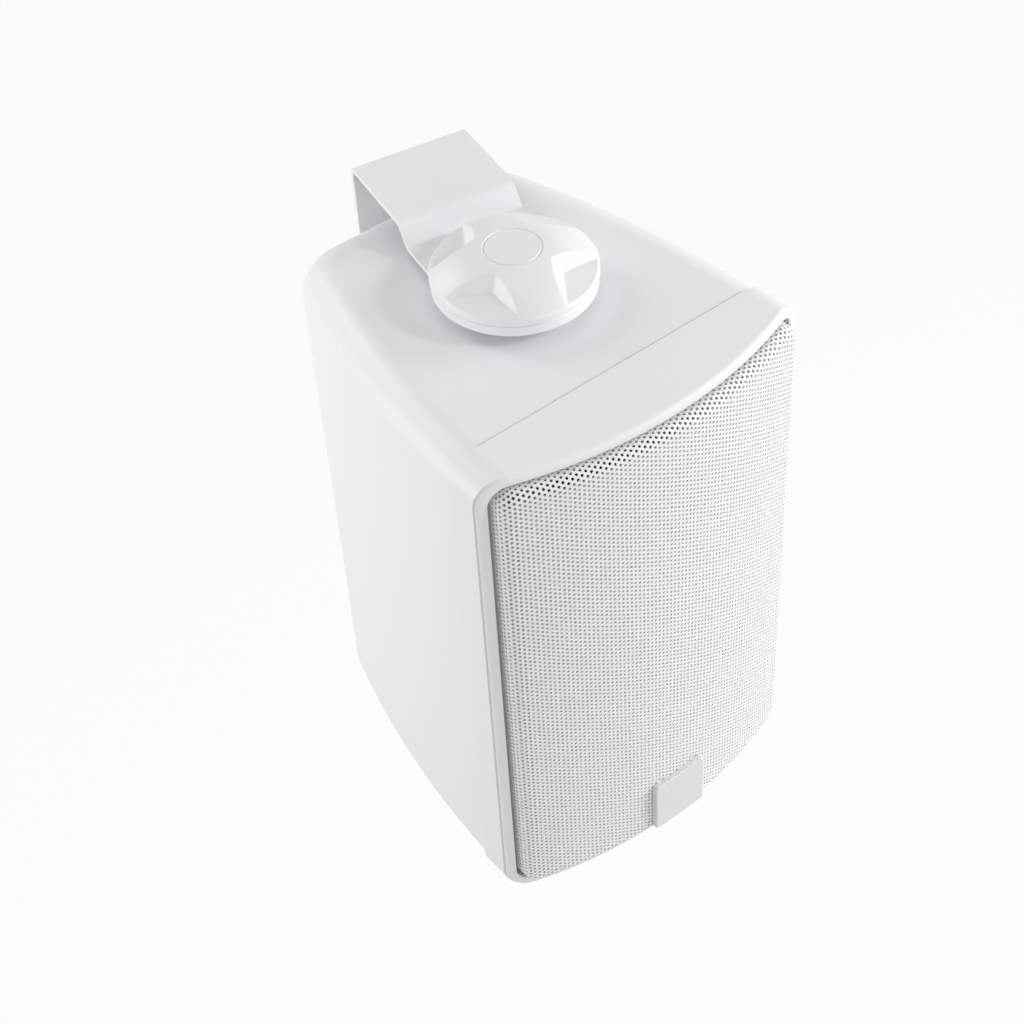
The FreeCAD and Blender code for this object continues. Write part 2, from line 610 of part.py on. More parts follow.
def make_bracket():
    arm = HALF_HEIGHT + ARM_HEIGHT
    tab_end = -AXIS_TO_WALL - STRIP_WIDTH / 2
    joggle_foot = JOGGLE_FOOT - AXIS_TO_WALL
    joggle_top = JOGGLE_TOP - AXIS_TO_WALL
    upper = [(tab_end, TAB_TOP), (joggle_foot, TAB_TOP), (joggle_top, arm), (0, arm)]
    lower = [(y, -z) for y, z in upper[::-1]]
    outline = fold_strip(upper + lower, STRIP_THICKNESS, STRIP_BEND)
    half = STRIP_WIDTH / 2
    wire = rounded_wire(outline, lambda p: vec(-half, p.x, p.y))
    strip = Part.Face(wire).extrude(vec(STRIP_WIDTH, 0, 0))
    plan = block(-half, half, -AXIS_TO_WALL, PAST, -arm - PAST, arm + PAST)
    plan = plan.fuse(rod_z(half, -arm - PAST, arm + PAST, 0, -AXIS_TO_WALL))
    strip = strip.common(plan)
    stud_hole = rod_z(STUD_RADIUS + STUD_CLEARANCE, -arm, arm, 0, -AXIS_TO_WALL)
    wall_holes = [rod_y(WALL_HOLE_RADIUS, -STRIP_THICKNESS - PAST, PAST, 0, sign * WALL_HOLE_SPACING / 2)
                  for sign in (-1, 1)]
    return strip.cut([stud_hole] + wall_holes).removeSplitter()


def make_washer():
    hole = STUD_RADIUS + STUD_CLEARANCE
    return rod_z(WASHER_RADIUS, PAD_TOP, TAB_UNDER).cut(rod_z(hole, PAD_TOP - PAST, TAB_UNDER + PAST))


def make_insert():
    bottom = INSERT_TOP - INSERT_LENGTH
    bore = STUD_RADIUS + THREAD_CLEARANCE
    return rod_z(INSERT_RADIUS, bottom, INSERT_TOP).cut(rod_z(bore, bottom - PAST, INSERT_TOP + PAST))


def make_ring():
    hole = STUD_RADIUS + STUD_CLEARANCE
    top = RING_HEIGHT
    edge = RING_RADIUS - RING_EDGE
    ring = turned_z([(hole, 0), (edge, 0), (RING_RADIUS, RING_EDGE), (RING_RADIUS, top - RING_EDGE),
                     (edge, top), (hole, top)])
    return moved(ring, 0, 0, TAB_TOP)


def make_scoop():
    """Drafted wedge with a rounded inner end, which leaves one finger scoop in the knob's dome."""
    half = math.radians(SCOOP_HALF_ANGLE)
    reach = KNOB_RADIUS

    def section(apex, height):
        corners = [(apex, 0, SCOOP_APEX_ROUND),
                   (apex + reach * math.cos(half), reach * math.sin(half), 0),
                   (apex + reach * math.cos(half), -reach * math.sin(half), 0)]
        return rounded_wire(corners, lambda p: vec(p.x, p.y, height))

    foot = section(SCOOP_APEX, 0)
    head = section(SCOOP_APEX - KNOB_HEIGHT * SCOOP_DRAFT, KNOB_HEIGHT)
    scoop = Part.makeLoft([foot, head], True, True)
    scoop.rotate(vec(KNOB_RADIUS, 0, 0), Y_AXIS, SCOOP_TILT)
    return moved(scoop, 0, 0, SCOOP_FLOOR)


def make_knob():
    """Domed cap with finger scoops and a bare centre disc, drawn from its seam with the ring up."""
    rim_top = KNOB_RIM
    disc = KNOB_DISC_RADIUS
    groove = disc + KNOB_DISC_GROOVE
    run = KNOB_RADIUS - groove
    climb = KNOB_HEIGHT - rim_top
    slope = math.hypot(run, climb)
    middle = (groove + run / 2 + KNOB_DOME_RISE * climb / slope,
              rim_top + climb / 2 + KNOB_DOME_RISE * run / slope)
    cap = turned_z([(0, 0), (KNOB_RADIUS, 0), (KNOB_RADIUS, rim_top), (middle, (groove, KNOB_HEIGHT)),
                    (disc, KNOB_HEIGHT - KNOB_DISC_GROOVE), (disc - KNOB_DISC_GROOVE, KNOB_HEIGHT),
                    (0, KNOB_HEIGHT)])
    scoop = make_scoop()
    for i in range(SCOOP_COUNT):
        cut = scoop.copy()
        cut.rotate(ORIGIN, Z_AXIS, SCOOP_START + 360 / SCOOP_COUNT * i)
        cap = cap.cut(cut)
    cap = cap.fuse(rod_z(KNOB_HUB_RADIUS, -KNOB_SEAM, KNOB_RIM))
    stud_hole = rod_z(STUD_RADIUS + THREAD_CLEARANCE, -KNOB_SEAM - PAST, KNOB_HEIGHT / 2)
    return moved(cap.cut(stud_hole).removeSplitter(), 0, 0, TAB_TOP + RING_HEIGHT + KNOB_SEAM)


def make_stud():
    top = TAB_TOP + RING_HEIGHT + KNOB_SEAM + KNOB_HEIGHT / 2
    return rod_z(STUD_RADIUS, INSERT_TOP - STUD_GRIP, top)


def make_woofer_basket():
    drop = BASKET_TOP_RADIUS - BASKET_BASE_RADIUS

    def wall_at(depth):
        return BASKET_TOP_RADIUS - drop * depth / BASKET_DEPTH

    base = BASKET_DEPTH - BASKET_WALL
    hole = GAP_RADIUS + BASKET_CLEARANCE
    lip = ROLL_CENTRE + ROLL_RADIUS
    basket = turned_y([(WOOFER_RADIUS, -WOOFER_FLANGE), (WOOFER_RADIUS, 0), (wall_at(0), 0),
                       (BASKET_BASE_RADIUS, BASKET_DEPTH), (hole, BASKET_DEPTH), (hole, base),
                       (BASKET_SHELF_RADIUS, base), (BASKET_SHELF_RADIUS, BASKET_SHELF_DEPTH),
                       (wall_at(BASKET_SHELF_DEPTH) - BASKET_WALL, BASKET_SHELF_DEPTH),
                       (wall_at(0) - BASKET_WALL, 0), (lip, 0), (lip, -WOOFER_FLANGE)])
    low = PANEL_THICKNESS + BASKET_WALL
    high = BASKET_SHELF_DEPTH - BASKET_WALL
    pane = profile_face([(BASKET_SHELF_RADIUS, low), (WOOFER_RADIUS, low), (WOOFER_RADIUS, high),
                         (BASKET_SHELF_RADIUS, high)])
    pane = pane.revolve(ORIGIN, Y_AXIS, BASKET_WINDOW_ANGLE)
    windows = []
    for i in range(BASKET_WINDOWS):
        window = pane.copy()
        window.rotate(ORIGIN, Y_AXIS, 360 / BASKET_WINDOWS * i)
        windows.append(window)
    basket = moved(basket.cut(windows), 0, PANEL_Y, WOOFER_Z)
    loose = SCREW_SHANK + SCREW_CLEARANCE
    front = PANEL_Y - WOOFER_FLANGE - PAST
    return basket.cut([rod_y(loose, front, PAST, x, z) for x, z in woofer_screw_places()])


def make_woofer_gasket():
    inner = ROLL_CENTRE + ROLL_RADIUS + ROLL_SKIN
    outer = ROLL_CENTRE + ROLL_RADIUS + ROLL_RIM
    seat = -WOOFER_FLANGE - ROLL_SKIN
    front = seat - GASKET_THICKNESS
    return turned_y([(inner, seat), (outer, seat), (outer, front), (inner, front)], PANEL_Y, WOOFER_Z)


def make_woofer_surround():
    seat = -WOOFER_FLANGE
    outer = ROLL_CENTRE + ROLL_RADIUS + ROLL_RIM
    thin = ROLL_RADIUS - ROLL_SKIN
    blend = math.sqrt(ROLL_RADIUS ** 2 - ROLL_SKIN ** 2)
    return turned_y([(outer, seat), (ROLL_CENTRE + thin, seat),
                     ((ROLL_CENTRE, seat - thin), (ROLL_CENTRE - thin, seat)),
                     (ROLL_CENTRE - ROLL_RADIUS, seat),
                     ((ROLL_CENTRE, seat - ROLL_RADIUS), (ROLL_CENTRE + blend, seat - ROLL_SKIN)),
                     (outer, seat - ROLL_SKIN)], PANEL_Y, WOOFER_Z)


def make_woofer_cone():
    edge = CONE_EDGE_DEPTH
    neck = edge + CONE_DEPTH
    return turned_y([(CONE_RADIUS, edge), (CONE_RADIUS, edge + CONE_THICKNESS),
                     (CONE_NECK, neck + CONE_THICKNESS), (CONE_NECK, neck)], PANEL_Y, WOOFER_Z)


def dust_cap_rim():
    """Depth at which the dust cap's rim meets the front of the cone."""
    slope = CONE_DEPTH / (CONE_RADIUS - CONE_NECK)
    return CONE_EDGE_DEPTH + (CONE_RADIUS - DUST_CAP_RADIUS) * slope - SEAT_GAP


def make_woofer_dust_cap():
    steps = dome_steps(DUST_CAP_RADIUS, dust_cap_rim(), DUST_CAP_HEIGHT, DUST_CAP_SKIN)
    return turned_y(steps, PANEL_Y, WOOFER_Z)


def make_woofer_coil_former():
    front = CONE_EDGE_DEPTH + CONE_DEPTH - CONE_THICKNESS
    end = BASKET_DEPTH + FORMER_REACH
    inner = FORMER_RADIUS - FORMER_WALL
    outer = FORMER_RADIUS
    return turned_y([(inner, front), (outer, front), (outer, end), (inner, end)], PANEL_Y, WOOFER_Z)


def make_woofer_voice_coil():
    middle = BASKET_DEPTH + TOP_PLATE_THICKNESS / 2
    front = middle - COIL_HEIGHT / 2
    end = middle + COIL_HEIGHT / 2
    inner = FORMER_RADIUS
    outer = FORMER_RADIUS + COIL_THICKNESS
    return turned_y([(inner, front), (outer, front), (outer, end), (inner, end)], PANEL_Y, WOOFER_Z)


def make_woofer_spider():
    """Disc with folded rings between the coil former and the basket's shelf."""
    inner = FORMER_RADIUS + CONE_GAP
    outer = BASKET_TOP_RADIUS - (BASKET_TOP_RADIUS - BASKET_BASE_RADIUS) * BASKET_SHELF_DEPTH / BASKET_DEPTH
    outer -= BASKET_WALL + SEAT_GAP
    seat = BASKET_SHELF_DEPTH
    first = inner + BASKET_WALL
    step = (BASKET_SHELF_RADIUS - BASKET_WALL - first) / SPIDER_FOLDS
    folds = [(first + step * i, seat - (2 * SPIDER_WAVE if i % 2 else 0)) for i in range(SPIDER_FOLDS + 1)]
    back = [(inner, seat)] + folds + [(outer, seat)]
    front = [(r, d - SPIDER_SKIN) for r, d in back[::-1]]
    return turned_y(back + front, PANEL_Y, WOOFER_Z)


def make_woofer_top_plate():
    outer = BASKET_BASE_RADIUS
    return turned_y([(GAP_RADIUS, BASKET_DEPTH), (outer, BASKET_DEPTH), (outer, MAGNET_DEPTH),
                     (GAP_RADIUS, MAGNET_DEPTH)], PANEL_Y, WOOFER_Z)


def make_woofer_magnet():
    inner = WOOFER_MAGNET_HOLE
    outer = WOOFER_MAGNET_RADIUS
    return turned_y([(inner, MAGNET_DEPTH), (outer, MAGNET_DEPTH), (outer, YOKE_DEPTH),
                     (inner, YOKE_DEPTH)], PANEL_Y, WOOFER_Z)


def make_woofer_yoke():
    end = YOKE_DEPTH + YOKE_THICKNESS
    outer = BASKET_BASE_RADIUS
    return turned_y([(0, BASKET_DEPTH), (POLE_RADIUS, BASKET_DEPTH), (POLE_RADIUS, YOKE_DEPTH),
                     (outer, YOKE_DEPTH), (outer, end), (0, end)], PANEL_Y, WOOFER_Z)


def make_tweeter_faceplate():
    front = -TWEETER_PLATE
    throat = -TWEETER_SEAT_DEPTH - GLUE_GAP
    flare = ((TWEETER_THROAT + TWEETER_HORN_RADIUS) / 2 - PAST, (front + throat) / 2 + PAST / 2)
    plate = turned_y([(TWEETER_RADIUS, 0), (TWEETER_RADIUS, front + PAST), (TWEETER_RADIUS - PAST, front),
                      (TWEETER_HORN_RADIUS, front), (flare, (TWEETER_THROAT, throat)),
                      (TWEETER_THROAT, -TWEETER_SEAT_DEPTH), (TWEETER_SEAT_RADIUS, -TWEETER_SEAT_DEPTH),
                      (TWEETER_SEAT_RADIUS, 0)], PANEL_Y, TWEETER_Z)
    loose = SCREW_SHANK + SCREW_CLEARANCE
    start = PANEL_Y - TWEETER_PLATE - PAST
    return plate.cut([rod_y(loose, start, PAST, x, z) for x, z in tweeter_screw_places()])


def make_tweeter_surround():
    """Thin ring that hangs the dome: a flat rim on the steel plate and one small roll."""
    skin = DOME_SKIN
    inner = DOME_RADIUS + CONE_GAP
    outer = TWEETER_SEAT_RADIUS - CONE_GAP
    roll = TWEETER_THROAT - CONE_GAP
    crest = -TWEETER_SEAT_DEPTH - GLUE_GAP + skin
    return turned_y([(outer, 0), (roll, 0), (roll - skin, crest), (inner + skin, crest), (inner, 0),
                     (inner, -skin), (inner + skin, crest - skin), (roll - skin, crest - skin),
                     (roll, -skin), (outer, -skin)], PANEL_Y, TWEETER_Z)


def make_tweeter_dome():
    return turned_y(dome_steps(DOME_RADIUS, DOME_BASE_DEPTH, DOME_HEIGHT, DOME_SKIN), PANEL_Y, TWEETER_Z)


def make_tweeter_voice_coil():
    start = DOME_BASE_DEPTH
    return turned_y([(TWEETER_COIL_INNER, start), (DOME_RADIUS, start), (DOME_RADIUS, TWEETER_COIL_LENGTH),
                     (TWEETER_COIL_INNER, TWEETER_COIL_LENGTH)], PANEL_Y, TWEETER_Z)


def make_tweeter_top_plate():
    hole = DOME_RADIUS + GAP_CLEARANCE
    return turned_y([(hole, 0), (TWEETER_BODY_RADIUS, 0), (TWEETER_BODY_RADIUS, TWEETER_PLATE_STEEL),
                     (hole, TWEETER_PLATE_STEEL)], PANEL_Y, TWEETER_Z)


def make_tweeter_magnet():
    return turned_y([(TWEETER_MAGNET_HOLE, TWEETER_PLATE_STEEL), (TWEETER_BODY_RADIUS, TWEETER_PLATE_STEEL),
                     (TWEETER_BODY_RADIUS, TWEETER_YOKE_DEPTH), (TWEETER_MAGNET_HOLE, TWEETER_YOKE_DEPTH)],
                    PANEL_Y, TWEETER_Z)


def make_tweeter_yoke():
    pole = TWEETER_COIL_INNER - GAP_CLEARANCE
    back = TWEETER_BODY_RADIUS - TWEETER_PLATE_STEEL / 2
    end = TWEETER_YOKE_DEPTH + TWEETER_YOKE
    return turned_y([(0, GAP_CLEARANCE), (pole, GAP_CLEARANCE), (pole, TWEETER_YOKE_DEPTH),
                     (back, TWEETER_YOKE_DEPTH), (back, end), (0, end)], PANEL_Y, TWEETER_Z)


def make_baffle_screws():
    return [screw_y(x, PANEL_Y, z, SCREW_LENGTH + PANEL_THICKNESS) for x, z in baffle_screw_places()]


def make_woofer_screws():
    return [screw_y(x, PANEL_Y - WOOFER_FLANGE, z) for x, z in woofer_screw_places()]


def make_tweeter_screws():
    return [screw_y(x, PANEL_Y - TWEETER_PLATE, z) for x, z in tweeter_screw_places()]


def make_board_screws():
    length = BOARD_THICKNESS + BOARD_POST_HEIGHT - SEAT_GAP
    return [screw_y(x, BOARD_FRONT_Y, z, length) for x, z in board_screw_places()]


def make_terminal_screws():
    screws = []
    for x, z in cup_screw_places():
        screw = screw_y(0, 0, 0, CUP_FLANGE_THICKNESS + CABINET_WALL + SCREW_LENGTH / 2)
        screw.rotate(ORIGIN, Z_AXIS, 180)
        screws.append(moved(screw, x, CABINET_DEPTH + CUP_FLANGE_THICKNESS, z))
    return screws


def make_terminal_cup():
    half_x = CUP_WIDTH / 2
    half_z = CUP_HEIGHT / 2
    mouth = CABINET_DEPTH + CUP_FLANGE_THICKNESS
    flange = CUP_WALL + CUP_FLANGE
    cup = rounded_prism(half_x + flange, half_z + flange, CUP_CORNER + CUP_WALL,
                        CABINET_DEPTH, mouth, CUP_CENTRE_Z)
    cup = cup.fuse(rounded_prism(half_x + CUP_WALL, half_z + CUP_WALL, CUP_CORNER,
                                 CUP_FLOOR_Y - CUP_WALL, mouth, CUP_CENTRE_Z))
    cup = cup.cut(rounded_prism(half_x, half_z, CUP_CORNER - CUP_WALL,
                                CUP_FLOOR_Y, mouth + PAST, CUP_CENTRE_Z))
    cup = cup.fuse(block(-half_x, half_x, CUP_FLOOR_Y, CUP_FLOOR_Y + LEDGE_DEPTH,
                         CUP_CENTRE_Z - half_z, LEDGE_TOP_Z))
    wire_z = LEDGE_TOP_Z - LEDGE_HEIGHT / 2
    cuts = [rod_y(WIRE_HOLE, CUP_FLOOR_Y, CUP_FLOOR_Y + LEDGE_DEPTH + PAST, sign * LEVER_X, wire_z)
            for sign in (-1, 1)]
    slot_x = CONTACT_WIDTH / 2 + GLUE_GAP
    slot_z = CONTACT_THICKNESS + GLUE_GAP
    cuts += [block(sign * LEVER_X - slot_x, sign * LEVER_X + slot_x, CUP_FLOOR_Y - CUP_WALL - PAST,
                   CUP_FLOOR_Y + PAST, LEDGE_TOP_Z, LEDGE_TOP_Z + slot_z) for sign in (-1, 1)]
    pin_half = half_x + PIN_ENGAGEMENT + GLUE_GAP
    cuts.append(Part.makeCylinder(PIN_RADIUS + PIN_FIT, 2 * pin_half, vec(-pin_half, PIN_Y, PIN_Z), X_AXIS))
    loose = SCREW_SHANK + SCREW_CLEARANCE
    cuts += [rod_y(loose, CABINET_DEPTH - PAST, mouth + PAST, x, z) for x, z in cup_screw_places()]
    return cup.cut(cuts).removeSplitter()


def make_terminal_pin():
    half = CUP_WIDTH / 2 + PIN_ENGAGEMENT
    return Part.makeCylinder(PIN_RADIUS, 2 * half, vec(-half, PIN_Y, PIN_Z), X_AXIS)


def make_terminal_contacts():
    low = LEDGE_TOP_Z + GLUE_GAP / 2
    return [block(sign * LEVER_X - CONTACT_WIDTH / 2, sign * LEVER_X + CONTACT_WIDTH / 2,
                  CUP_FLOOR_Y - CUP_WALL - CONTACT_TAIL, CUP_FLOOR_Y + LEDGE_DEPTH,
                  low, low + CONTACT_THICKNESS) for sign in (-1, 1)]


def make_lever(sign):
    """Push lever on the cross pin: a leaning thumb tab above its barrel and a short tail below."""
    half = LEVER_WIDTH / 2
    middle = sign * LEVER_X
    start = vec(middle - half, PIN_Y, PIN_Z)
    barrel = Part.makeCylinder(LEVER_BARREL, LEVER_WIDTH, start, X_AXIS)
    thick = LEVER_THICKNESS
    corners = [(LEVER_BARREL - thick, 0, 0), (LEVER_BARREL, 0, 0), (LEVER_BARREL, LEVER_UP, thick / 3),
               (LEVER_BARREL - thick, LEVER_UP, thick / 3)]
    tab = Part.Face(rounded_wire(corners, lambda p: vec(middle - half, p.x, p.y)))
    tab = tab.extrude(vec(LEVER_WIDTH, 0, 0))
    tab.rotate(ORIGIN, X_AXIS, -LEVER_LEAN)
    tab = moved(tab, 0, PIN_Y, PIN_Z)
    tail = block(middle - half, middle + half, PIN_Y - LEVER_BARREL, PIN_Y - LEVER_BARREL + thick,
                 PIN_Z - LEVER_DOWN, PIN_Z)
    bore = Part.makeCylinder(PIN_RADIUS + PIN_FIT, LEVER_WIDTH, start, X_AXIS)
    return barrel.fuse([tab, tail]).cut(bore).removeSplitter()


def make_lever_spring(sign):
    """Bent leaf between the floor of the cup and the back of the lever's tab."""
    lean = math.radians(LEVER_LEAN)
    reach = LEVER_UP - LEVER_THICKNESS
    back = LEVER_BARREL - LEVER_THICKNESS - SPRING_GAP
    tip = (PIN_Y + back * math.cos(lean) + reach * math.sin(lean),
           PIN_Z - back * math.sin(lean) + reach * math.cos(lean))
    floor = CUP_FLOOR_Y + SPRING_GAP
    path = [(floor, PIN_Z + LEVER_BARREL), (floor, tip[1] - LEVER_THICKNESS), tip]
    outline = fold_strip(path, SPRING_THICKNESS, SPRING_THICKNESS)
    left = sign * LEVER_X - SPRING_WIDTH / 2
    wire = rounded_wire(outline, lambda p: vec(left, p.x, p.y))
    return Part.Face(wire).extrude(vec(SPRING_WIDTH, 0, 0))


def make_crossover_board():
    board = rounded_prism(BOARD_WIDTH / 2, BOARD_HEIGHT / 2, BOARD_POST_INSET / 2,
                          BOARD_FRONT_Y, BOARD_BACK_Y, BOARD_CENTRE_Z)
    loose = SCREW_SHANK + SCREW_CLEARANCE
    start = BOARD_FRONT_Y - PAST
    end = BOARD_BACK_Y + PAST
    return board.cut([rod_y(loose, start, end, x, z) for x, z in board_screw_places()])


def make_inductor(radius, height, x, z):
    """Air-core coil standing on the board."""
    front = BOARD_FRONT_Y - height
    return rod_y(radius, front, BOARD_FRONT_Y, x, z).cut(
        rod_y(radius * INDUCTOR_CORE / INDUCTOR_RADIUS, front - PAST, BOARD_FRONT_Y + PAST, x, z))


def make_woofer_inductor():
    x = BOARD_WIDTH / 2 - INDUCTOR_RADIUS - SEAT_GAP
    z = BOARD_CENTRE_Z - BOARD_HEIGHT / 2 + 2 * BOARD_POST_INSET + INDUCTOR_RADIUS
    return make_inductor(INDUCTOR_RADIUS, INDUCTOR_HEIGHT, -x, z)


def make_tweeter_inductor():
    x = BOARD_WIDTH / 2 - SMALL_INDUCTOR_RADIUS - SEAT_GAP
    z = BOARD_CENTRE_Z - BOARD_HEIGHT / 2 + 2 * BOARD_POST_INSET + SMALL_INDUCTOR_RADIUS
    return make_inductor(SMALL_INDUCTOR_RADIUS, SMALL_INDUCTOR_HEIGHT, x, z)


def capacitor_heights():
    """Heights of the two capacitors, from the upper end of the board down."""
    top = BOARD_CENTRE_Z + BOARD_HEIGHT / 2 - BOARD_POST_INSET - CAPACITOR_RADIUS
    return [top, top - 2 * CAPACITOR_RADIUS - COMPONENT_GAP]


def make_crossover_capacitors():
    """Two film capacitors lying side by side across the upper half of the board."""
    y = BOARD_FRONT_Y - CAPACITOR_RADIUS - SEAT_GAP
    left = -CAPACITOR_LENGTH / 2
    return [Part.makeCylinder(CAPACITOR_RADIUS, CAPACITOR_LENGTH, vec(left, y, z), X_AXIS)
            for z in capacitor_heights()]


def make_crossover_resistor():
    top = capacitor_heights()[1] - CAPACITOR_RADIUS - COMPONENT_GAP / 2
    half = RESISTOR_LENGTH / 2
    return block(-half, half, BOARD_FRONT_Y - RESISTOR_SIDE, BOARD_FRONT_Y, top - RESISTOR_SIDE, top)


def make_wadding():
    pad = cabinet_form(CABINET_WALL + WADDING_GAP, 0)
    return pad.common(block(-SPEAKER_WIDTH, SPEAKER_WIDTH, WADDING_FRONT, WADDING_FRONT + WADDING_THICKNESS,
                            -SPEAKER_HEIGHT, SPEAKER_HEIGHT))


def on_swivel_axis(shape, under):
    """A knob-side piece drawn on the Z axis goes to the top of the swivel axis, or turned under it."""
    copy = shape.copy()
    if under:
        copy.rotate(ORIGIN, X_AXIS, 180)
    return moved(copy, 0, SWIVEL_AXIS_Y, 0)


def swung(shape):
    """From the straight-ahead speaker to its place on the bracket."""
    copy = moved(shape, 0, -SWIVEL_AXIS_Y, 0)
    copy.rotate(ORIGIN, Z_AXIS, SWIVEL_ANGLE)
    return moved(copy, 0, -AXIS_TO_WALL, 0)


def speaker_pieces():
    pieces = {
        "cabinet": make_cabinet(), "front_baffle": make_front_baffle(),
        "baffle_screws": make_baffle_screws(), "grille": make_grille(),
        "grille_cloth": make_grille_cloth(), "badge": make_badge(),
        "woofer_basket": make_woofer_basket(), "woofer_gasket": make_woofer_gasket(),
        "woofer_surround": make_woofer_surround(), "woofer_cone": make_woofer_cone(),
        "woofer_dust_cap": make_woofer_dust_cap(), "woofer_coil_former": make_woofer_coil_former(),
        "woofer_voice_coil": make_woofer_voice_coil(), "woofer_spider": make_woofer_spider(),
        "woofer_top_plate": make_woofer_top_plate(), "woofer_magnet": make_woofer_magnet(),
        "woofer_yoke": make_woofer_yoke(), "woofer_screws": make_woofer_screws(),
        "tweeter_faceplate": make_tweeter_faceplate(), "tweeter_surround": make_tweeter_surround(),
        "tweeter_dome": make_tweeter_dome(), "tweeter_voice_coil": make_tweeter_voice_coil(),
        "tweeter_top_plate": make_tweeter_top_plate(), "tweeter_magnet": make_tweeter_magnet(),
        "tweeter_yoke": make_tweeter_yoke(), "tweeter_screws": make_tweeter_screws(),
        "terminal_cup": make_terminal_cup(), "terminal_screws": make_terminal_screws(),
        "terminal_pin": make_terminal_pin(), "terminal_contacts": make_terminal_contacts(),
        "red_lever": make_lever(-1), "black_lever": make_lever(1),
        "red_lever_spring": make_lever_spring(-1), "black_lever_spring": make_lever_spring(1),
        "crossover_board": make_crossover_board(), "board_screws": make_board_screws(),
        "woofer_inductor": make_woofer_inductor(), "tweeter_inductor": make_tweeter_inductor(),
        "crossover_capacitors": make_crossover_capacitors(),
        "crossover_resistor": make_crossover_resistor(), "wadding": make_wadding(),
    }
    clamp = {"knob": make_knob(), "ring": make_ring(), "stud": make_stud(), "insert": make_insert(),
             "washer": make_washer()}
    for name, shape in clamp.items():
        pieces["top_" + name] = on_swivel_axis(shape, False)
        pieces["bottom_" + name] = on_swivel_axis(shape, True)
    return pieces


def main():
    os.makedirs("parts", exist_ok=True)
    parts = {"bracket": make_bracket()}
    for name, piece in speaker_pieces().items():
        solids = piece if isinstance(piece, list) else [piece]
        parts[name] = Part.Compound([swung(solid) for solid in solids])
    for name, shape in parts.items():
        solids = shape.Solids
        shape = solids[0] if len(solids) == 1 else Part.Compound(solids)
        shape.exportStep("parts/" + name + ".step")
        print(name, len(solids), "solids", round(shape.Volume, 1), "mm3", "valid", shape.isValid())


main()
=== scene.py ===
# %% [markdown]
# # A compact white speaker on its wall bracket
#
# The construction of this speaker comes from a packed CAD model, and this lesson dresses it: it sets
# up the camera, gives every piece a finish made of shader nodes, and replaces the few forms that a CAD
# solid can't carry in detail. The most laborious of them is the grille, a thin steel sheet with
# thousands of round holes that is bent over at its edges.
#
# Everything is in metres and in the CAD model's own frame, so a piece goes where the CAD says it is.

# %% Load the packed model
import json
import math

import bpy
import numpy as np
from mathutils import Matrix


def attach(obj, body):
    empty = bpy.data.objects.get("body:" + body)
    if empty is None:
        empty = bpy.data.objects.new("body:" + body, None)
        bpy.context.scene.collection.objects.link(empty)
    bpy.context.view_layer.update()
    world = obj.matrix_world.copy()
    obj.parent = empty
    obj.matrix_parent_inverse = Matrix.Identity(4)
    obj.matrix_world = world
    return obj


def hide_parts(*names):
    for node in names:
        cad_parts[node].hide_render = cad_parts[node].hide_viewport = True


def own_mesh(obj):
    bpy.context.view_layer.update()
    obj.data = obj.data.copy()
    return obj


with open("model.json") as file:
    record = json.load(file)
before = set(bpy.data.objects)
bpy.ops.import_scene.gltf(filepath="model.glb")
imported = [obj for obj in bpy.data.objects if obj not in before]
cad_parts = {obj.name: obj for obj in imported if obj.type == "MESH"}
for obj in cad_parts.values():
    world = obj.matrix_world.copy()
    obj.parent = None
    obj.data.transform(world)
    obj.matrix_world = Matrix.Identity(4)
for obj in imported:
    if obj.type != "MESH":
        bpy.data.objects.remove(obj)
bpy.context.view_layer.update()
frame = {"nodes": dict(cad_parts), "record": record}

nodes = frame["nodes"]

# %% [markdown]
# ## The camera
#
# A camera that matches a photograph needs a place, three angles and a lens. They were found by fitting
# straight edges and circles of the object to their places in the picture. The small shift says that the
# middle of the lens isn't the middle of the cropped picture. `turn` is counted about the upright axis,
# `tilt` downwards from level, and `roll` leans the camera about its own line of sight.

# %% Camera
MM = 0.001
LENS_PIXELS = 2080.31
IMAGE_PIXELS = 1024
SENSOR = 36.0
SHIFT = (-0.01483, -0.03285)
VIEW_END = 50
camera_place = np.array([-264.09, -623.69, 602.75]) * MM
turn, tilt, roll = np.radians([-26.273, 44.286, -3.488])


def add_object(name, data):
    """A new object in the scene, at the origin."""
    made = bpy.data.objects.new(name, data)
    bpy.context.scene.collection.objects.link(made)
    return made


def stand(thing, right, above, back, place):
    """Places a camera or lamp: the columns of its matrix are its right, its up, its back and its place."""
    pose = np.eye(4)
    pose[:3] = np.stack([right, above, back, place], axis=1)
    thing.matrix_world = Matrix(pose.tolist())


back = np.array([math.sin(turn) * math.cos(tilt), -math.cos(turn) * math.cos(tilt), math.sin(tilt)])
level = np.cross(-back, [0, 0, 1])
level /= np.linalg.norm(level)
upright = np.cross(level, -back)
right = math.cos(roll) * level + math.sin(roll) * upright
above = math.cos(roll) * upright - math.sin(roll) * level

camera_data = bpy.data.cameras.new("camera")
camera_data.sensor_width = SENSOR
camera_data.lens = LENS_PIXELS / IMAGE_PIXELS * SENSOR
camera_data.shift_x, camera_data.shift_y = SHIFT
camera_data.clip_end = VIEW_END
camera = add_object("camera", camera_data)
stand(camera, right, above, back, camera_place)
bpy.context.scene.camera = camera
print("lens", round(camera_data.lens, 2), "mm, from", camera_place)

# %% [markdown]
# ## A short way to write shaders
#
# Blender's materials are graphs of nodes. Wiring them by hand takes many lines, so one small class wraps
# a socket: adding or multiplying two of them adds a Math node, and `node` makes any other node from its
# type, its settings and the values or links of its sockets. `1 - mask` works too, because the reflected
# operators are there.

# %% Signals


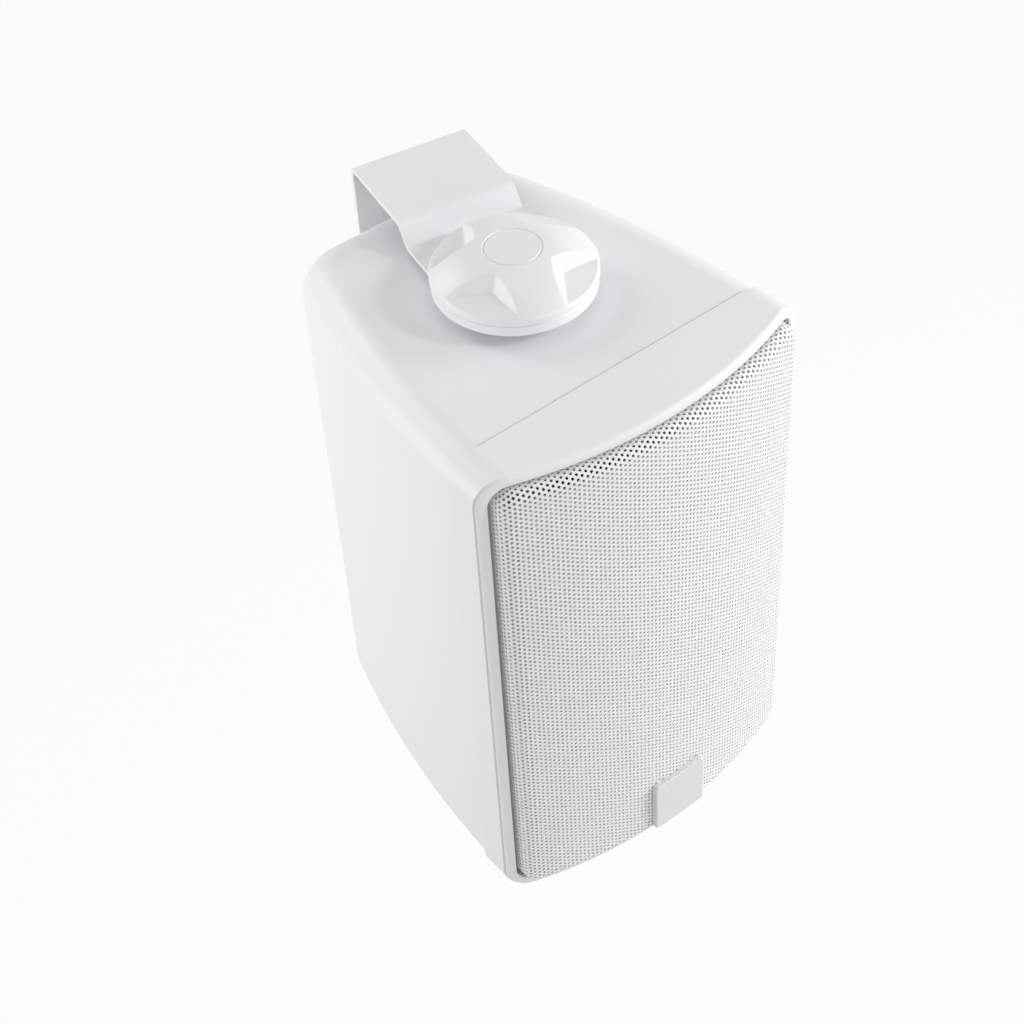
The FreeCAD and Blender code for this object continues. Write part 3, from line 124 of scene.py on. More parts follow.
class Signal:
    """One output socket of a node tree; arithmetic with it adds Math nodes to the tree."""

    def __init__(self, tree, socket=None):
        self.tree = tree
        self.socket = socket

    def node(self, kind, settings=None, sockets=None, output=0):
        """Adds a node: settings are set first, then socket values or links; returns one output."""
        made = self.tree.nodes.new(kind)
        for name, value in (settings or {}).items():
            setattr(made, name, value)
        for name, value in (sockets or {}).items():
            target = made.inputs[name]
            if isinstance(value, Signal):
                self.tree.links.new(value.socket, target)
            else:
                target.default_value = value
        return Signal(self.tree, made.outputs[output] if len(made.outputs) else None)

    def math(self, operation, *values):
        """A Math node of the given operation on numbers or signals."""
        return self.node("ShaderNodeMath", {"operation": operation}, dict(enumerate(values)))

    def __add__(self, other):
        return self.math("ADD", self, other)

    def __radd__(self, other):
        return self.math("ADD", other, self)

    def __sub__(self, other):
        return self.math("SUBTRACT", self, other)

    def __rsub__(self, other):
        return self.math("SUBTRACT", other, self)

    def __mul__(self, other):
        return self.math("MULTIPLY", self, other)

    def __rmul__(self, other):
        return self.math("MULTIPLY", other, self)


print("operators:", [name for name in vars(Signal) if name.endswith(("add__", "sub__", "mul__"))])

# %% [markdown]
# The finishes below share a few steps: where a point lies, a random value there, one part of its place, a
# colour between two others, a number that varies a little, and a relief. Each is a short function.

# %% Shader helpers


def new_finish(name, turned=0.0):
    """An empty material, and its object coordinates in metres, turned about the upright axis."""
    material = bpy.data.materials.new(name)
    material.use_nodes = True
    material.node_tree.nodes.clear()
    place = Signal(material.node_tree).node("ShaderNodeTexCoord", output="Object")
    if turned:
        place = place.node("ShaderNodeMapping", {}, {"Vector": place, "Rotation": (0, 0, turned)})
    return material, place


def close_finish(place, sockets):
    """Ends a material with a Principled shader that takes these values and signals."""
    surface = place.node("ShaderNodeBsdfPrincipled", {}, sockets)
    place.node("ShaderNodeOutputMaterial", {}, {"Surface": surface})


def part_of(place, axis):
    """One coordinate of a place: X, Y or Z."""
    return place.node("ShaderNodeSeparateXYZ", {}, {0: place}, output=axis)


def stretched(place, drawn):
    """Coordinates multiplied axis by axis, so that a pattern shrinks along the large ones."""
    return place.node("ShaderNodeMapping", {}, {"Vector": place, "Scale": drawn})


def noise(place, size, detail=2.0):
    """Soft random values from 0 to 1 whose blotches are about `size` metres across."""
    sockets = {"Vector": place, "Scale": 1 / size, "Detail": detail}
    return place.node("ShaderNodeTexNoise", {"noise_dimensions": "3D"}, sockets)


def shade(place, factor, dark, light):
    """A colour that runs from dark to light as the factor goes from 0 to 1; either may be a signal."""
    dark, light = (end if isinstance(end, Signal) else (*end, 1) for end in (dark, light))
    return place.node("ShaderNodeMix", {"data_type": "RGBA"}, {0: factor, 6: dark, 7: light}, output=2)


def varied(middle, spread, signal):
    """A number that goes from half a spread below the middle to half above it with the signal."""
    return middle - spread / 2 + spread * signal


def bump(place, height, depth):
    """A surface relief `depth` metres deep from a height that runs from 0 to 1."""
    return place.node("ShaderNodeBump", {}, {"Height": height, "Distance": depth})


print("helpers:", [helper.__name__ for helper in (part_of, stretched, noise, shade, varied, bump)])

# %% [markdown]
# ## White mouldings and painted steel
#
# The cabinet, the front and the knobs are satin white mouldings. Close up, such plastic has a fine even
# grain from the mould, and over a hand's breadth it varies very slightly in tone and gloss. Painted steel
# looks much the same in colour, but its powder coat has a softer, larger ripple. Both are noise at two
# sizes: the small one drives the relief, the large one the tone and roughness.
#
# Two fine dark lines belong to the front. One is the seam where it meets the cabinet: a thin band at one
# depth. The other is painted shade along the foot of the raised rim, where that edge turns away from the
# lamps: a thin band at one distance from the upright axis that the front is rounded about, which fades in
# towards the two sides as that shade does. A step there could be cut into the form, but colour keeps its
# edges clean. The coordinates are turned to lie along the swung speaker.

# %% White finishes
SWING = math.radians(10.5)
SEAM_PLACE, SEAM_WIDTH, SEAM_TONE = -0.1425, 0.0005, 0.14
FRONT_AXIS = (-0.01613, 0.01705)
# The rim's foot line is painted shade: where it lies, how wide and dark it is, and where it fades in.
FOOT_SHADE_REACH, FOOT_SHADE_WIDTH, FOOT_SHADE_TONE = 0.1887, 0.0011, 0.54
FOOT_SHADE_FADE = (0.0665, 0.0745)


def seam_and_foot_shade(place, colour):
    """The seam, at one depth, and painted shade at the rim's foot, where the root of aside² + ahead² is one
    reach.
    """
    deep = part_of(place, "Y")
    aside, ahead = part_of(place, "X") - FRONT_AXIS[0], deep - FRONT_AXIS[1]
    seam = deep.math("COMPARE", deep, SEAM_PLACE, SEAM_WIDTH / 2)
    reach = aside.math("SQRT", aside * aside + ahead * ahead)
    # Painted shade: a thin dark band along the rim's foot, faded in towards the sides, stands for the shade
    # where that edge turns from the lamps.
    foot = reach.math("COMPARE", reach, FOOT_SHADE_REACH, FOOT_SHADE_WIDTH / 2)
    outwards = {"Value": aside.math("ABSOLUTE", aside), "From Min": FOOT_SHADE_FADE[0], "From Max": FOOT_SHADE_FADE[1]}
    foot = foot * aside.node("ShaderNodeMapRange", {}, outwards)
    return shade(place, foot, shade(place, seam, colour, [SEAM_TONE] * 3), [FOOT_SHADE_TONE] * 3)


DRIFT_SIZE, TONE_DRIFT, GLOSS_DRIFT = 0.06, 0.012, 0.08


def moulded(name, tone, roughness, grain=0.0005, relief=0.000012, lines=None):
    """Moulded plastic: even colour with a slow drift in tone and gloss, a fine grain, and what `lines` draws,
    such as the seam and the rim's painted shade.
    """
    material, place = new_finish(name, turned=-SWING)
    slow = noise(place, DRIFT_SIZE, 1.0)
    fine = noise(place, grain, 1.0)
    dark = [channel * (1 - TONE_DRIFT) for channel in tone]
    light = [min(channel * (1 + TONE_DRIFT), 1) for channel in tone]
    colour = shade(place, slow, dark, light)
    close_finish(place, {
        "Base Color": lines(place, colour) if lines else colour,
        "Roughness": varied(roughness, GLOSS_DRIFT, slow),
        "Normal": bump(place, fine, relief),
    })
    return material


WHITE = (0.86, 0.865, 0.872)
white_plastic = moulded("white_moulding", WHITE, 0.42, lines=seam_and_foot_shade)
knob_plastic = moulded("knob_moulding", WHITE, 0.36)
badge_plastic = moulded("badge_moulding", (0.72, 0.725, 0.732), 0.36)
bracket_paint = moulded("bracket_powder_coat", WHITE, 0.40, grain=0.0012, relief=0.00002)
grille_paint = moulded("grille_powder_coat", (0.88, 0.883, 0.888), 0.5, grain=0.0008)
whites = (white_plastic, knob_plastic, badge_plastic, bracket_paint, grille_paint)
print("white finishes:", [finish.name for finish in whites])

# %% [markdown]
# ## Cloth and windings
#
# The pieces inside the cabinet are seldom seen, but a part that is taken to pieces shows them, so each gets
# a finish of its own. Woven cloth is the product of two waves that cross, and a winding is one wave along
# the coil. Drawing each thread would take far more faces than the eye can use at this size.

# %% Cloth and windings
PATTERN_DEPTH = 0.3


def woven(name, dark, light, thread, roughness=0.9):
    """Plain weave: one wave across times one wave up, shifted so that they alternate."""
    material, place = new_finish(name, turned=-SWING)
    across, up = part_of(place, "X"), part_of(place, "Z")
    weft = across.math("SINE", across * (math.pi / thread))
    warp = up.math("SINE", up * (math.pi / thread))
    height = 0.5 + 0.5 * (weft * warp)
    fuzz = noise(place, thread * 3)
    close_finish(place, {
        "Base Color": shade(place, 0.6 * height + 0.4 * fuzz, dark, light),
        "Roughness": roughness,
        "Normal": bump(place, height, thread * PATTERN_DEPTH),
    })
    return material


def wound(name, dark, light, wire):
    """Enamelled wire laid turn by turn: one wave along the coil's axis."""
    material, place = new_finish(name, turned=-SWING)
    along = part_of(place, "Y")
    turns = 0.5 + 0.5 * along.math("SINE", along * (2 * math.pi / wire))
    close_finish(place, {
        "Base Color": shade(place, turns, dark, light),
        "Roughness": varied(0.33, 0.1, noise(place, 0.004)),
        "Metallic": 0.85,
        "Normal": bump(place, turns, wire * PATTERN_DEPTH),
    })
    return material


grille_cloth = woven("grille_cloth", (0.82, 0.825, 0.83), (0.93, 0.933, 0.937), 0.0006)
spider_cloth = woven("spider_cloth", (0.34, 0.24, 0.09), (0.66, 0.50, 0.24), 0.0008)
dome_cloth = woven("dome_cloth", (0.012, 0.012, 0.014), (0.05, 0.05, 0.056), 0.0004, 0.55)
copper_wire = wound("copper_winding", (0.32, 0.12, 0.05), (0.74, 0.36, 0.17), 0.0008)
print("cloth and windings:", [m.name for m in (grille_cloth, spider_cloth, dome_cloth, copper_wire)])

# %% [markdown]
# ## Metals
#
# Sheet steel and turned brass carry fine marks along the way they were rolled or drawn. One noise that is
# squeezed along a single axis gives such marks, and it drives the tone, the gloss and a shallow relief.

# %% Metals
DRAWN = (1, 1, 12)
MARK_SIZE, MARK_TONE, MARK_GLOSS, MARK_DEPTH = 0.002, 0.88, 0.16, 0.00001


def plated(name, tone, roughness, metallic=1.0):
    """Metal with fine marks drawn out across one axis, in tone and in gloss."""
    material, place = new_finish(name)
    marks = noise(stretched(place, DRAWN), MARK_SIZE, 3.0)
    close_finish(place, {
        "Base Color": shade(place, marks, [channel * MARK_TONE for channel in tone], tone),
        "Roughness": varied(roughness, MARK_GLOSS, marks),
        "Metallic": metallic,
        "Normal": bump(place, marks, MARK_DEPTH),
    })
    return material


steel = plated("zinc_plated_steel", (0.62, 0.63, 0.64), 0.34)
brass = plated("plain_brass", (0.78, 0.62, 0.34), 0.3)
aluminium = plated("plain_aluminium", (0.80, 0.80, 0.81), 0.36)
black_steel = plated("black_steel", (0.030, 0.030, 0.032), 0.45, metallic=0.2)
print("metals:", [m.name for m in (steel, brass, aluminium, black_steel)])

# %% [markdown]
# ## Dull finishes
#
# Rubber, pressed paper, ferrite, cement and loose fibre scatter light evenly. A noise with much detail mixes
# two close colours, and the same noise is the relief. Fibres get theirs from a noise that is drawn out.

# %% Dull finishes
BLOTCH_GLOSS = 0.1


def dull(name, dark, light, size, roughness, relief, drawn=(1, 1, 1)):
    """Two colours mixed by a noise that is also the relief, in metres."""
    material, place = new_finish(name)
    blotch = noise(stretched(place, drawn), size, 6.0)
    close_finish(place, {
        "Base Color": shade(place, blotch, dark, light),
        "Roughness": varied(roughness, BLOTCH_GLOSS, blotch),
        "Normal": bump(place, blotch, relief),
    })
    return material


rubber = dull("soft_rubber", (0.014, 0.014, 0.014), (0.034, 0.034, 0.034), 0.0008, 0.62, 0.00003)
paper = dull("pressed_paper", (0.03, 0.03, 0.033), (0.075, 0.075, 0.08), 0.0015, 0.8, 0.00008, (1, 1, 0.25))
ferrite = dull("sintered_ferrite", (0.05, 0.05, 0.054), (0.11, 0.11, 0.115), 0.0012, 0.55, 0.00004)
board = dull("lacquered_board", (0.035, 0.14, 0.045), (0.06, 0.21, 0.07), 0.004, 0.3, 0.00002)
cement = dull("cement_block", (0.66, 0.65, 0.61), (0.84, 0.83, 0.80), 0.0012, 0.85, 0.00006)
fibre = dull("loose_fibre", (0.62, 0.62, 0.60), (0.9, 0.9, 0.88), 0.006, 0.95, 0.0012, (1, 1, 0.3))
print("dull finishes:", [m.name for m in (rubber, paper, ferrite, board, cement, fibre)])

# %% [markdown]
# Every CAD node names the slot that its finish comes from, so one table of slots dresses them all.

# %% Finishes for the CAD nodes
finishes = {
    "white_plastic": white_plastic,
    "grille_paint": grille_paint,
    "grille_cloth": grille_cloth,
    "badge_plastic": badge_plastic,
    "bracket_paint": bracket_paint,
    "knob_plastic": knob_plastic,
    "black_plastic": moulded("black_moulding", (0.035, 0.035, 0.037), 0.38),
    "red_plastic": moulded("red_moulding", (0.52, 0.025, 0.025), 0.3),
    "steel": steel,
    "black_steel": black_steel,
    "brass": brass,
    "rubber": rubber,
    "paper_cone": paper,
    "ferrite": ferrite,
    "dome_cloth": dome_cloth,
    "spider_cloth": spider_cloth,
    "copper_wire": copper_wire,
    "aluminium": aluminium,
    "board": board,
    "film_wrap": moulded("wrapped_film", (0.60, 0.42, 0.07), 0.24),
    "cement": cement,
    "wadding": fibre,
}

for part in frame["record"]["subparts"]:
    mesh = nodes[part["node"]].data
    mesh.materials.clear()
    mesh.materials.append(finishes[part["material_slot"]])

# %% [markdown]
# ## From the speaker's own axes to the scene
#
# The speaker stands swung on its bracket. Its front and knobs are easier to draw straight ahead, in
# millimetres, with the middle of the height at zero, and to turn into place at the end. One function
# does that for any array of points, and another makes an object of points and faces. Vertices that lie at
# the same place are joined, so that a sheet built cell by cell has no open seams.

# %% Places and meshes
SWIVEL_AXIS = np.array([0.0, 55.8, 0.0])
AXIS_ON_BRACKET = np.array([0.0, -88.5, 0.0])
turn_in = np.array([
    [math.cos(SWING), -math.sin(SWING), 0],
    [math.sin(SWING), math.cos(SWING), 0],
    [0, 0, 1],
])


def to_scene(points):
    """Takes off the swivel axis, turns by the swing, puts the axis on the bracket, goes to metres."""
    return ((points - SWIVEL_AXIS) @ turn_in.T + AXIS_ON_BRACKET) * MM


def new_piece(name, points, quads, slot, body, node, crease=50):
    """Joins equal vertices, halves the quads, drops triangles shrunk to nothing, adds a smooth object."""
    joined, index = np.unique(np.round(points, 4), axis=0, return_inverse=True)
    quads = index.reshape(-1)[quads]
    triangles = np.concatenate([quads[:, [0, 1, 2]], quads[:, [0, 2, 3]]])
    kept = triangles[(np.diff(np.sort(triangles, axis=1), axis=1) > 0).all(axis=1)]
    mesh = bpy.data.meshes.new(name)
    mesh.from_pydata(to_scene(joined).tolist(), [], kept.tolist())
    mesh.polygons.foreach_set("use_smooth", np.ones(len(kept), bool))
    mesh.set_sharp_from_angle(angle=math.radians(crease))
    mesh.materials.append(finishes[slot])
    piece = add_object(name, mesh)
    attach(piece, body)
    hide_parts(node)
    return piece


print("the swivel axis stands at", to_scene(SWIVEL_AXIS).round(4), "swung by", round(math.degrees(SWING), 1))

# %% [markdown]
# ## The grille
#
# The grille starts as a flat sheet with round holes in rows, as a punch leaves it. The sheet is then
# rolled to the front's large radius, and its edge is bent back over a small one. Instead of simulating a
# press, one function maps a point of the flat sheet to its place on the bent one. Inside the bend line it
# lies on the large cylinder. Beyond that line it runs on round the bend until it points straight back.

# %% The bend line
FRONT_RADIUS = 194.2
FRONT_AXIS_Y = 159.87
BEND_RADIUS = 4.5
BEND_CORNER = 2.9
HALF_WIDTH, HALF_HEIGHT = 69.4, 111.4
NEARLY_ZERO, STILL_LESS = 1e-9, 1e-12
side_angle = math.asin((HALF_WIDTH - BEND_RADIUS) / (FRONT_RADIUS - BEND_RADIUS))
BEND_LINE = np.array([FRONT_RADIUS * side_angle, HALF_HEIGHT - BEND_RADIUS])


def bend_line(flat):
    """The nearest point of the rounded bend line, the way outwards there, and the length beyond it."""
    past = np.maximum(np.abs(flat) - (BEND_LINE - BEND_CORNER), 0)
    reach = np.maximum(np.hypot(past[..., 0], past[..., 1]), NEARLY_ZERO)
    outwards = np.sign(flat) * past / reach[..., None]
    beyond = np.maximum(reach - BEND_CORNER, 0)
    return flat - outwards * beyond[..., None], outwards, beyond


def bend_angle(line, outwards):
    """The turn until the sheet points straight back: a right angle, less the front's slope at its sides.

    Inside the line there is no way outwards, and the two tiny terms make it a right angle there too.
    """
    slope = np.abs(line[..., 0]) / FRONT_RADIUS
    across, up = np.abs(outwards[..., 0]), np.abs(outwards[..., 1])
    backwards = across ** 2 * np.cos(slope) + up ** 2 + NEARLY_ZERO
    return np.arctan2(backwards, across * np.sin(slope) + STILL_LESS)


print("bend line at", BEND_LINE.round(2), "mm, side slope", round(math.degrees(side_angle), 1), "degrees")

# %% Flat sheet to bent sheet


def bent(flat, depth=0.0):
    """Roll: (R sin(u/R), R cos(u/R)). Bend: a circle about the point one bend radius under the line."""
    line, outwards, beyond = bend_line(flat)
    turned = line[..., 0] / FRONT_RADIUS
    sine, cosine, zero = np.sin(turned), np.cos(turned), np.zeros_like(turned)
    normal = np.stack([sine, -cosine, zero], axis=-1)
    along = np.stack([outwards[..., 0] * cosine, outwards[..., 0] * sine, outwards[..., 1]], axis=-1)
    angle = np.minimum(beyond / BEND_RADIUS, bend_angle(line, outwards))[..., None]
    straight = beyond[..., None] - BEND_RADIUS * angle
    axis = np.stack([zero, zero + FRONT_AXIS_Y, line[..., 1]], axis=-1)
    centre = normal * (FRONT_RADIUS - BEND_RADIUS) + axis
    out = normal * np.cos(angle) + along * np.sin(angle)
    onwards = along * np.cos(angle) - normal * np.sin(angle)
    return centre + (BEND_RADIUS - depth) * out + straight * onwards


print("the sheet's middle comes to", bent(np.zeros(2)).round(2), "mm")

# %% [markdown]
# The holes sit on a triangular grid, and they run on round the bend and a little way down the flange. A grid
# that is a little too large is laid over the sheet, and the centres past that end are dropped.

# %% Hole centres
HOLE_PITCH = 2.12
HOLE_RADIUS = 0.63
PAST_BEND = 3.4
LEAST_WEB = 0.15
COLUMN = HOLE_PITCH * math.sqrt(3) / 2
COLUMNS_ASIDE, ROWS_UP = 44, 58

columns = np.arange(-COLUMNS_ASIDE, COLUMNS_ASIDE + 1)
rows = np.arange(-ROWS_UP, ROWS_UP + 1)
centres = np.stack(np.meshgrid(columns * COLUMN, rows * HOLE_PITCH, indexing="ij"), axis=-1)
centres[columns % 2 == 1, :, 1] += HOLE_PITCH / 2
centres = centres.reshape(-1, 2)


def field_end(line, outwards):
    """How far beyond the bend line the holes run: the length of the bend and a little of the flange."""
    return BEND_RADIUS * bend_angle(line, outwards) + PAST_BEND


line, outwards, beyond = bend_line(centres)
left_over = field_end(line, outwards) - beyond
inside = left_over > -HOLE_PITCH / 2
centres, left_over = centres[inside], left_over[inside]
radii = np.where(left_over > HOLE_RADIUS + LEAST_WEB, HOLE_RADIUS, 0)
print(np.count_nonzero(radii), "holes in", len(centres), "cells")

# %% [markdown]
# Each hole has a six-sided cell to itself. A cell is two rings of twelve points: the outer ring runs round
# the hexagon and the inner one round the hole. Faces between the rings make the front, the same rings one
# thickness deeper make the back, and the hole's wall joins them. All cells are built together by adding the
# hole centres to one pattern. Where a cell crosses the end of the holes, its points are drawn back to it and
# its hole closes.

# %% Cells round the holes
SHEET = 0.9
SIDES = 12


def drawn_back(flat):
    """A point beyond the end of the holes goes back to that end."""
    line, outwards, beyond = bend_line(flat)
    return line + outwards * np.minimum(beyond, field_end(line, outwards))[..., None]


step = np.arange(SIDES)
round_angles = step * 2 * math.pi / SIDES
circle = np.stack([np.cos(round_angles), np.sin(round_angles)], axis=1)
hexagon = circle * np.where(step % 2, HOLE_PITCH / 2, COLUMN * 2 / 3)[:, None]
outlines = np.broadcast_to(hexagon, (len(centres), SIDES, 2))
rings = np.stack([outlines, circle[None] * radii[:, None, None]], axis=1)
rings = drawn_back(centres[:, None, None, :] + rings)
cells = np.stack([bent(rings), bent(rings, SHEET)], axis=1)
print("cells, sides, rings, points, coordinates:", cells.shape)

# %% Perforated sheet
after = (step + 1) % SIDES
outer, inner, deep_outer, deep_inner = (step + SIDES * ring for ring in range(4))
outer_next, inner_next, deep_outer_next, deep_inner_next = (after + SIDES * ring for ring in range(4))
cell_faces = np.concatenate([
    np.stack([inner, inner_next, outer_next, outer], axis=1)[:, ::-1],
    np.stack([inner, inner_next, deep_inner_next, deep_inner], axis=1),
    np.stack([deep_inner, deep_inner_next, deep_outer_next, deep_outer], axis=1),
])

quarters = (centres[:, 0] > 0).astype(int) + 2 * (centres[:, 1] > 0).astype(int)
for quarter in range(4):
    here = quarters == quarter
    points = cells[here].reshape(-1, 4 * SIDES, 3)
    starts = np.arange(len(points)) * 4 * SIDES
    faces = (starts[:, None, None] + cell_faces[None]).reshape(-1, 4)
    name = f"grille_sheet_{quarter}"
    piece = new_piece(name, points.reshape(-1, 3), faces, "grille_paint", "speaker", "grille")
    print(piece.name, np.count_nonzero(radii[here]), "holes,", len(piece.data.polygons), "faces")

# %% [markdown]
# Behind the last holes the sheet is plain: its flange runs straight back to the baffle's panel. It is a strip
# round the bend line, from the end of the holes to one depth, with an inner side and a back edge. The line
# goes round four corner arcs and the four straight sides between them.

# %% Way round the bend line
ARC_STEPS, SIDE_STEPS = 16, 64
arcs = np.arange(4)[:, None] * math.pi / 2 + np.linspace(0, math.pi / 2, ARC_STEPS)[None]
arc_ways = np.stack([np.cos(arcs), np.sin(arcs)], axis=-1)
corners = np.sign(arc_ways[:, ARC_STEPS // 2])[:, None] * (BEND_LINE - BEND_CORNER)
turns = corners + BEND_CORNER * arc_ways
share = np.linspace(0, 1, SIDE_STEPS + 1)[1:-1, None]
sides = turns[:, -1:] * (1 - share) + np.roll(turns[:, :1], -1, axis=0) * share
side_ways = np.repeat(arc_ways[:, -1:], SIDE_STEPS - 1, axis=1)
line = np.concatenate([turns, sides], axis=1).reshape(-1, 2)
outwards = np.concatenate([arc_ways, side_ways], axis=1).reshape(-1, 2)
count = len(line)
print(count, "points round the bend line")

# %% Flange
BACK_EDGE_Y = -5.0
start = line + outwards * field_end(line, outwards)[:, None]
finish = start + outwards * (BACK_EDGE_Y - bent(start)[:, 1])[:, None]
loops = np.stack([bent(start), bent(finish), bent(finish, SHEET), bent(start, SHEET)])
loop = np.arange(3)[:, None] * count
here = np.arange(count)[None]
ahead = (here + 1) % count
strip = [loop + here, loop + count + here, loop + count + ahead, loop + ahead]
faces = np.stack(strip, axis=-1).reshape(-1, 4)
flange = new_piece("grille_flange", loops.reshape(-1, 3), faces, "grille_paint", "speaker", "grille")
print(flange.name, len(flange.data.polygons), "faces, back edge at", BACK_EDGE_Y, "mm")

# %% [markdown]
# ## The clamp knobs
#
# A knob's cap is a dome with a flat disc in its middle and four finger scoops. It is a height over a round
# plan, so a grid in radius and angle carries it. The dome is one arc, the scoop a wedge with a sloping floor
# and slanted walls, and the lower of the two heights wins. A plain minimum would leave knife edges, so a
# smooth minimum rounds the crest as the mould does.

# %% Knob heights
KNOB_RADIUS, KNOB_RIM, KNOB_TOP = 31.4, 2.9, 11.3
DISC_RADIUS, GROOVE = 10.7, 0.5
DOME_RISE = 1.9
SCOOP_APEX, SCOOP_HALF, SCOOP_START = 19.3, math.radians(61), math.radians(27)
SCOOP_FLOOR, SCOOP_TILT, SCOOP_DRAFT = 2.6, math.radians(11), 0.7
APEX_ROUND, FLOOR_BLEND = 1.0, 0.25


def smooth_min(a, b, blend):
    """The lower of a and b; within `blend` of each other they join by a parabola."""
    share = np.clip(0.5 + 0.5 * (b - a) / blend, 0, 1)
    return b + (a - b) * share - blend * share * (1 - share)


def dome(radius):
    """An arc from the rim to the disc: the chord's height plus a parabola of the given rise."""
    edge = DISC_RADIUS + GROOVE
    share = np.clip((KNOB_RADIUS - radius) / (KNOB_RADIUS - edge), 0, 1)
    return KNOB_RIM + (KNOB_TOP - KNOB_RIM) * share + 4 * DOME_RISE * share * (1 - share)


def scoop(x, y):
    """Floor rising to the apex, plus the distance outside the wedge divided by the draft."""
    quarter = math.pi / 2
    turns = np.round((np.arctan2(y, x) - SCOOP_START) / quarter) * quarter + SCOOP_START
    ahead = x * np.cos(turns) + y * np.sin(turns)
    aside = np.sqrt((y * np.cos(turns) - x * np.sin(turns)) ** 2 + APEX_ROUND ** 2)
    outside = aside * math.cos(SCOOP_HALF) - (ahead - SCOOP_APEX) * math.sin(SCOOP_HALF)
    floor = SCOOP_FLOOR + (KNOB_RADIUS - ahead) * math.tan(SCOOP_TILT)
    return floor - smooth_min(-outside, np.zeros_like(outside), FLOOR_BLEND) / SCOOP_DRAFT


print("dome height at rim and disc:", dome(np.array([KNOB_RADIUS, DISC_RADIUS])), "mm")

# %% [markdown]
# The rings of the grid stand closest at the groove round the disc. Six more rings follow the underside: the
# flat, the hub and the bore that the stud sits in. The bottom knob is the same cap turned over about the
# X axis.

# %% Knob caps
KNOB_BASE = 126.55
SPOKES, HOOPS = 320, 110
CREST_BLEND, EDGE_ROUND, LEAST_RIM = 0.9, 0.8, 0.9
UNDERSIDE = np.array([(KNOB_RADIUS, 0.0), (9.0, 0.0), (9.0, -0.35), (4.05, -0.35), (4.05, 5.65), (0, 5.65)])

spokes = np.linspace(0, 2 * math.pi, SPOKES, endpoint=False)
disc_hoops, groove_hoops = [0, 5, 9.6], np.linspace(10.0, 11.6, 17)
hoops = np.concatenate([disc_hoops, groove_hoops, np.linspace(11.9, KNOB_RADIUS, HOOPS)])
plan_x = hoops[:, None] * np.cos(spokes)
plan_y = hoops[:, None] * np.sin(spokes)
height = smooth_min(dome(hoops)[:, None] + 0 * plan_x, scoop(plan_x, plan_y), CREST_BLEND)
height -= np.clip(GROOVE - np.abs(hoops - DISC_RADIUS), 0, GROOVE)[:, None]
height -= EDGE_ROUND * np.clip(1 - (KNOB_RADIUS - hoops) / EDGE_ROUND, 0, 1)[:, None] ** 2
height = np.maximum(height, LEAST_RIM)
under_radius, under_height = UNDERSIDE[:, :1], UNDERSIDE[:, 1:]
under = [under_radius * np.cos(spokes), under_radius * np.sin(spokes), under_height + 0 * spokes]
cap = np.concatenate([np.stack([plan_x, plan_y, height], axis=2), np.stack(under, axis=2)])

ring = np.arange(len(cap) - 1)[:, None] * SPOKES
this = np.arange(SPOKES)[None]
next_ = (this + 1) % SPOKES
cap_faces = np.stack([ring + this, ring + SPOKES + this, ring + SPOKES + next_, ring + next_], axis=-1)
cap_faces = cap_faces.reshape(-1, 4)
for end, over in (("top", 1), ("bottom", -1)):
    points = (cap.reshape(-1, 3) + [0, 0, KNOB_BASE]) * [1, over, over] + SWIVEL_AXIS
    body, node = f"{end}_clamp_knob", f"{end}_knob"
    piece = new_piece(f"{end}_knob_cap", points, cap_faces, "knob_plastic", body, node, crease=35)
    print(piece.name, len(piece.data.polygons), "faces")

# %% [markdown] ## The lever springs  In the terminal cup each lever leans on a bent leaf of spring steel. A
# stiff leaf would stand in the way of a pressed lever, so the leaf is drawn again as a strip along a bent
# line: four corners at each point of the line, joined from point to point.

# %% Leaf along its line
LEAF_LINE = np.array([[118.8, -54.9], [118.8, -53.5], [119.2, -53.0], [126.95, -50.94]])
LEAF_THICKNESS, LEAF_WIDTH = 0.4, 6.0

along = np.gradient(LEAF_LINE, axis=0)
along /= np.linalg.norm(along, axis=1, keepdims=True)
leaf_under = LEAF_LINE + LEAF_THICKNESS * np.stack([along[:, 1], -along[:, 0]], axis=1)
edge_lines = np.stack([LEAF_LINE, LEAF_LINE, leaf_under, leaf_under], axis=1)
edge_x = np.broadcast_to(LEAF_WIDTH / 2 * np.array([-1, 1, 1, -1]), edge_lines.shape[:2])
leaf = np.concatenate([edge_x[..., None], edge_lines], axis=-1).reshape(-1, 3)
start = 4 * np.arange(len(LEAF_LINE) - 1)[:, None]
corner = np.arange(4)[None]
following = (corner + 1) % 4
walls = np.stack([start + corner, start + following, start + 4 + following, start + 4 + corner], axis=-1)
ends = [[3, 2, 1, 0], [len(leaf) - 4, len(leaf) - 3, len(leaf) - 2, len(leaf) - 1]]
leaf_faces = np.concatenate([walls.reshape(-1, 4), ends])
print("leaf of", len(leaf), "points and", len(leaf_faces), "faces")

# %% Lever springs
LEVER_X = 9.0

for colour, side in (("red", -1), ("black", 1)):
    points = leaf + [side * LEVER_X, 0, 0]
    node = f"{colour}_lever_spring"
    spring = new_piece(f"{colour}_leaf", points, leaf_faces, "steel", "speaker", node, crease=30)
    foot = to_scene(points[:1])[0]
    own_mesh(spring)

# %% [markdown]
# ## Light
#
# The object is white on white, so its form shows only through small steps of grey. A small key lamp from the
# right throws the short shadows, and broad lamps on the other sides lift the faces that look their way. The
# strongest stands on the right and hardly any light comes from the front left, so the edges that face that
# corner turn grey and draw the outline. A small lamp close to the left side fades over its length. Lamps are
# placed by compass angle from +X and height angle, all at one distance.

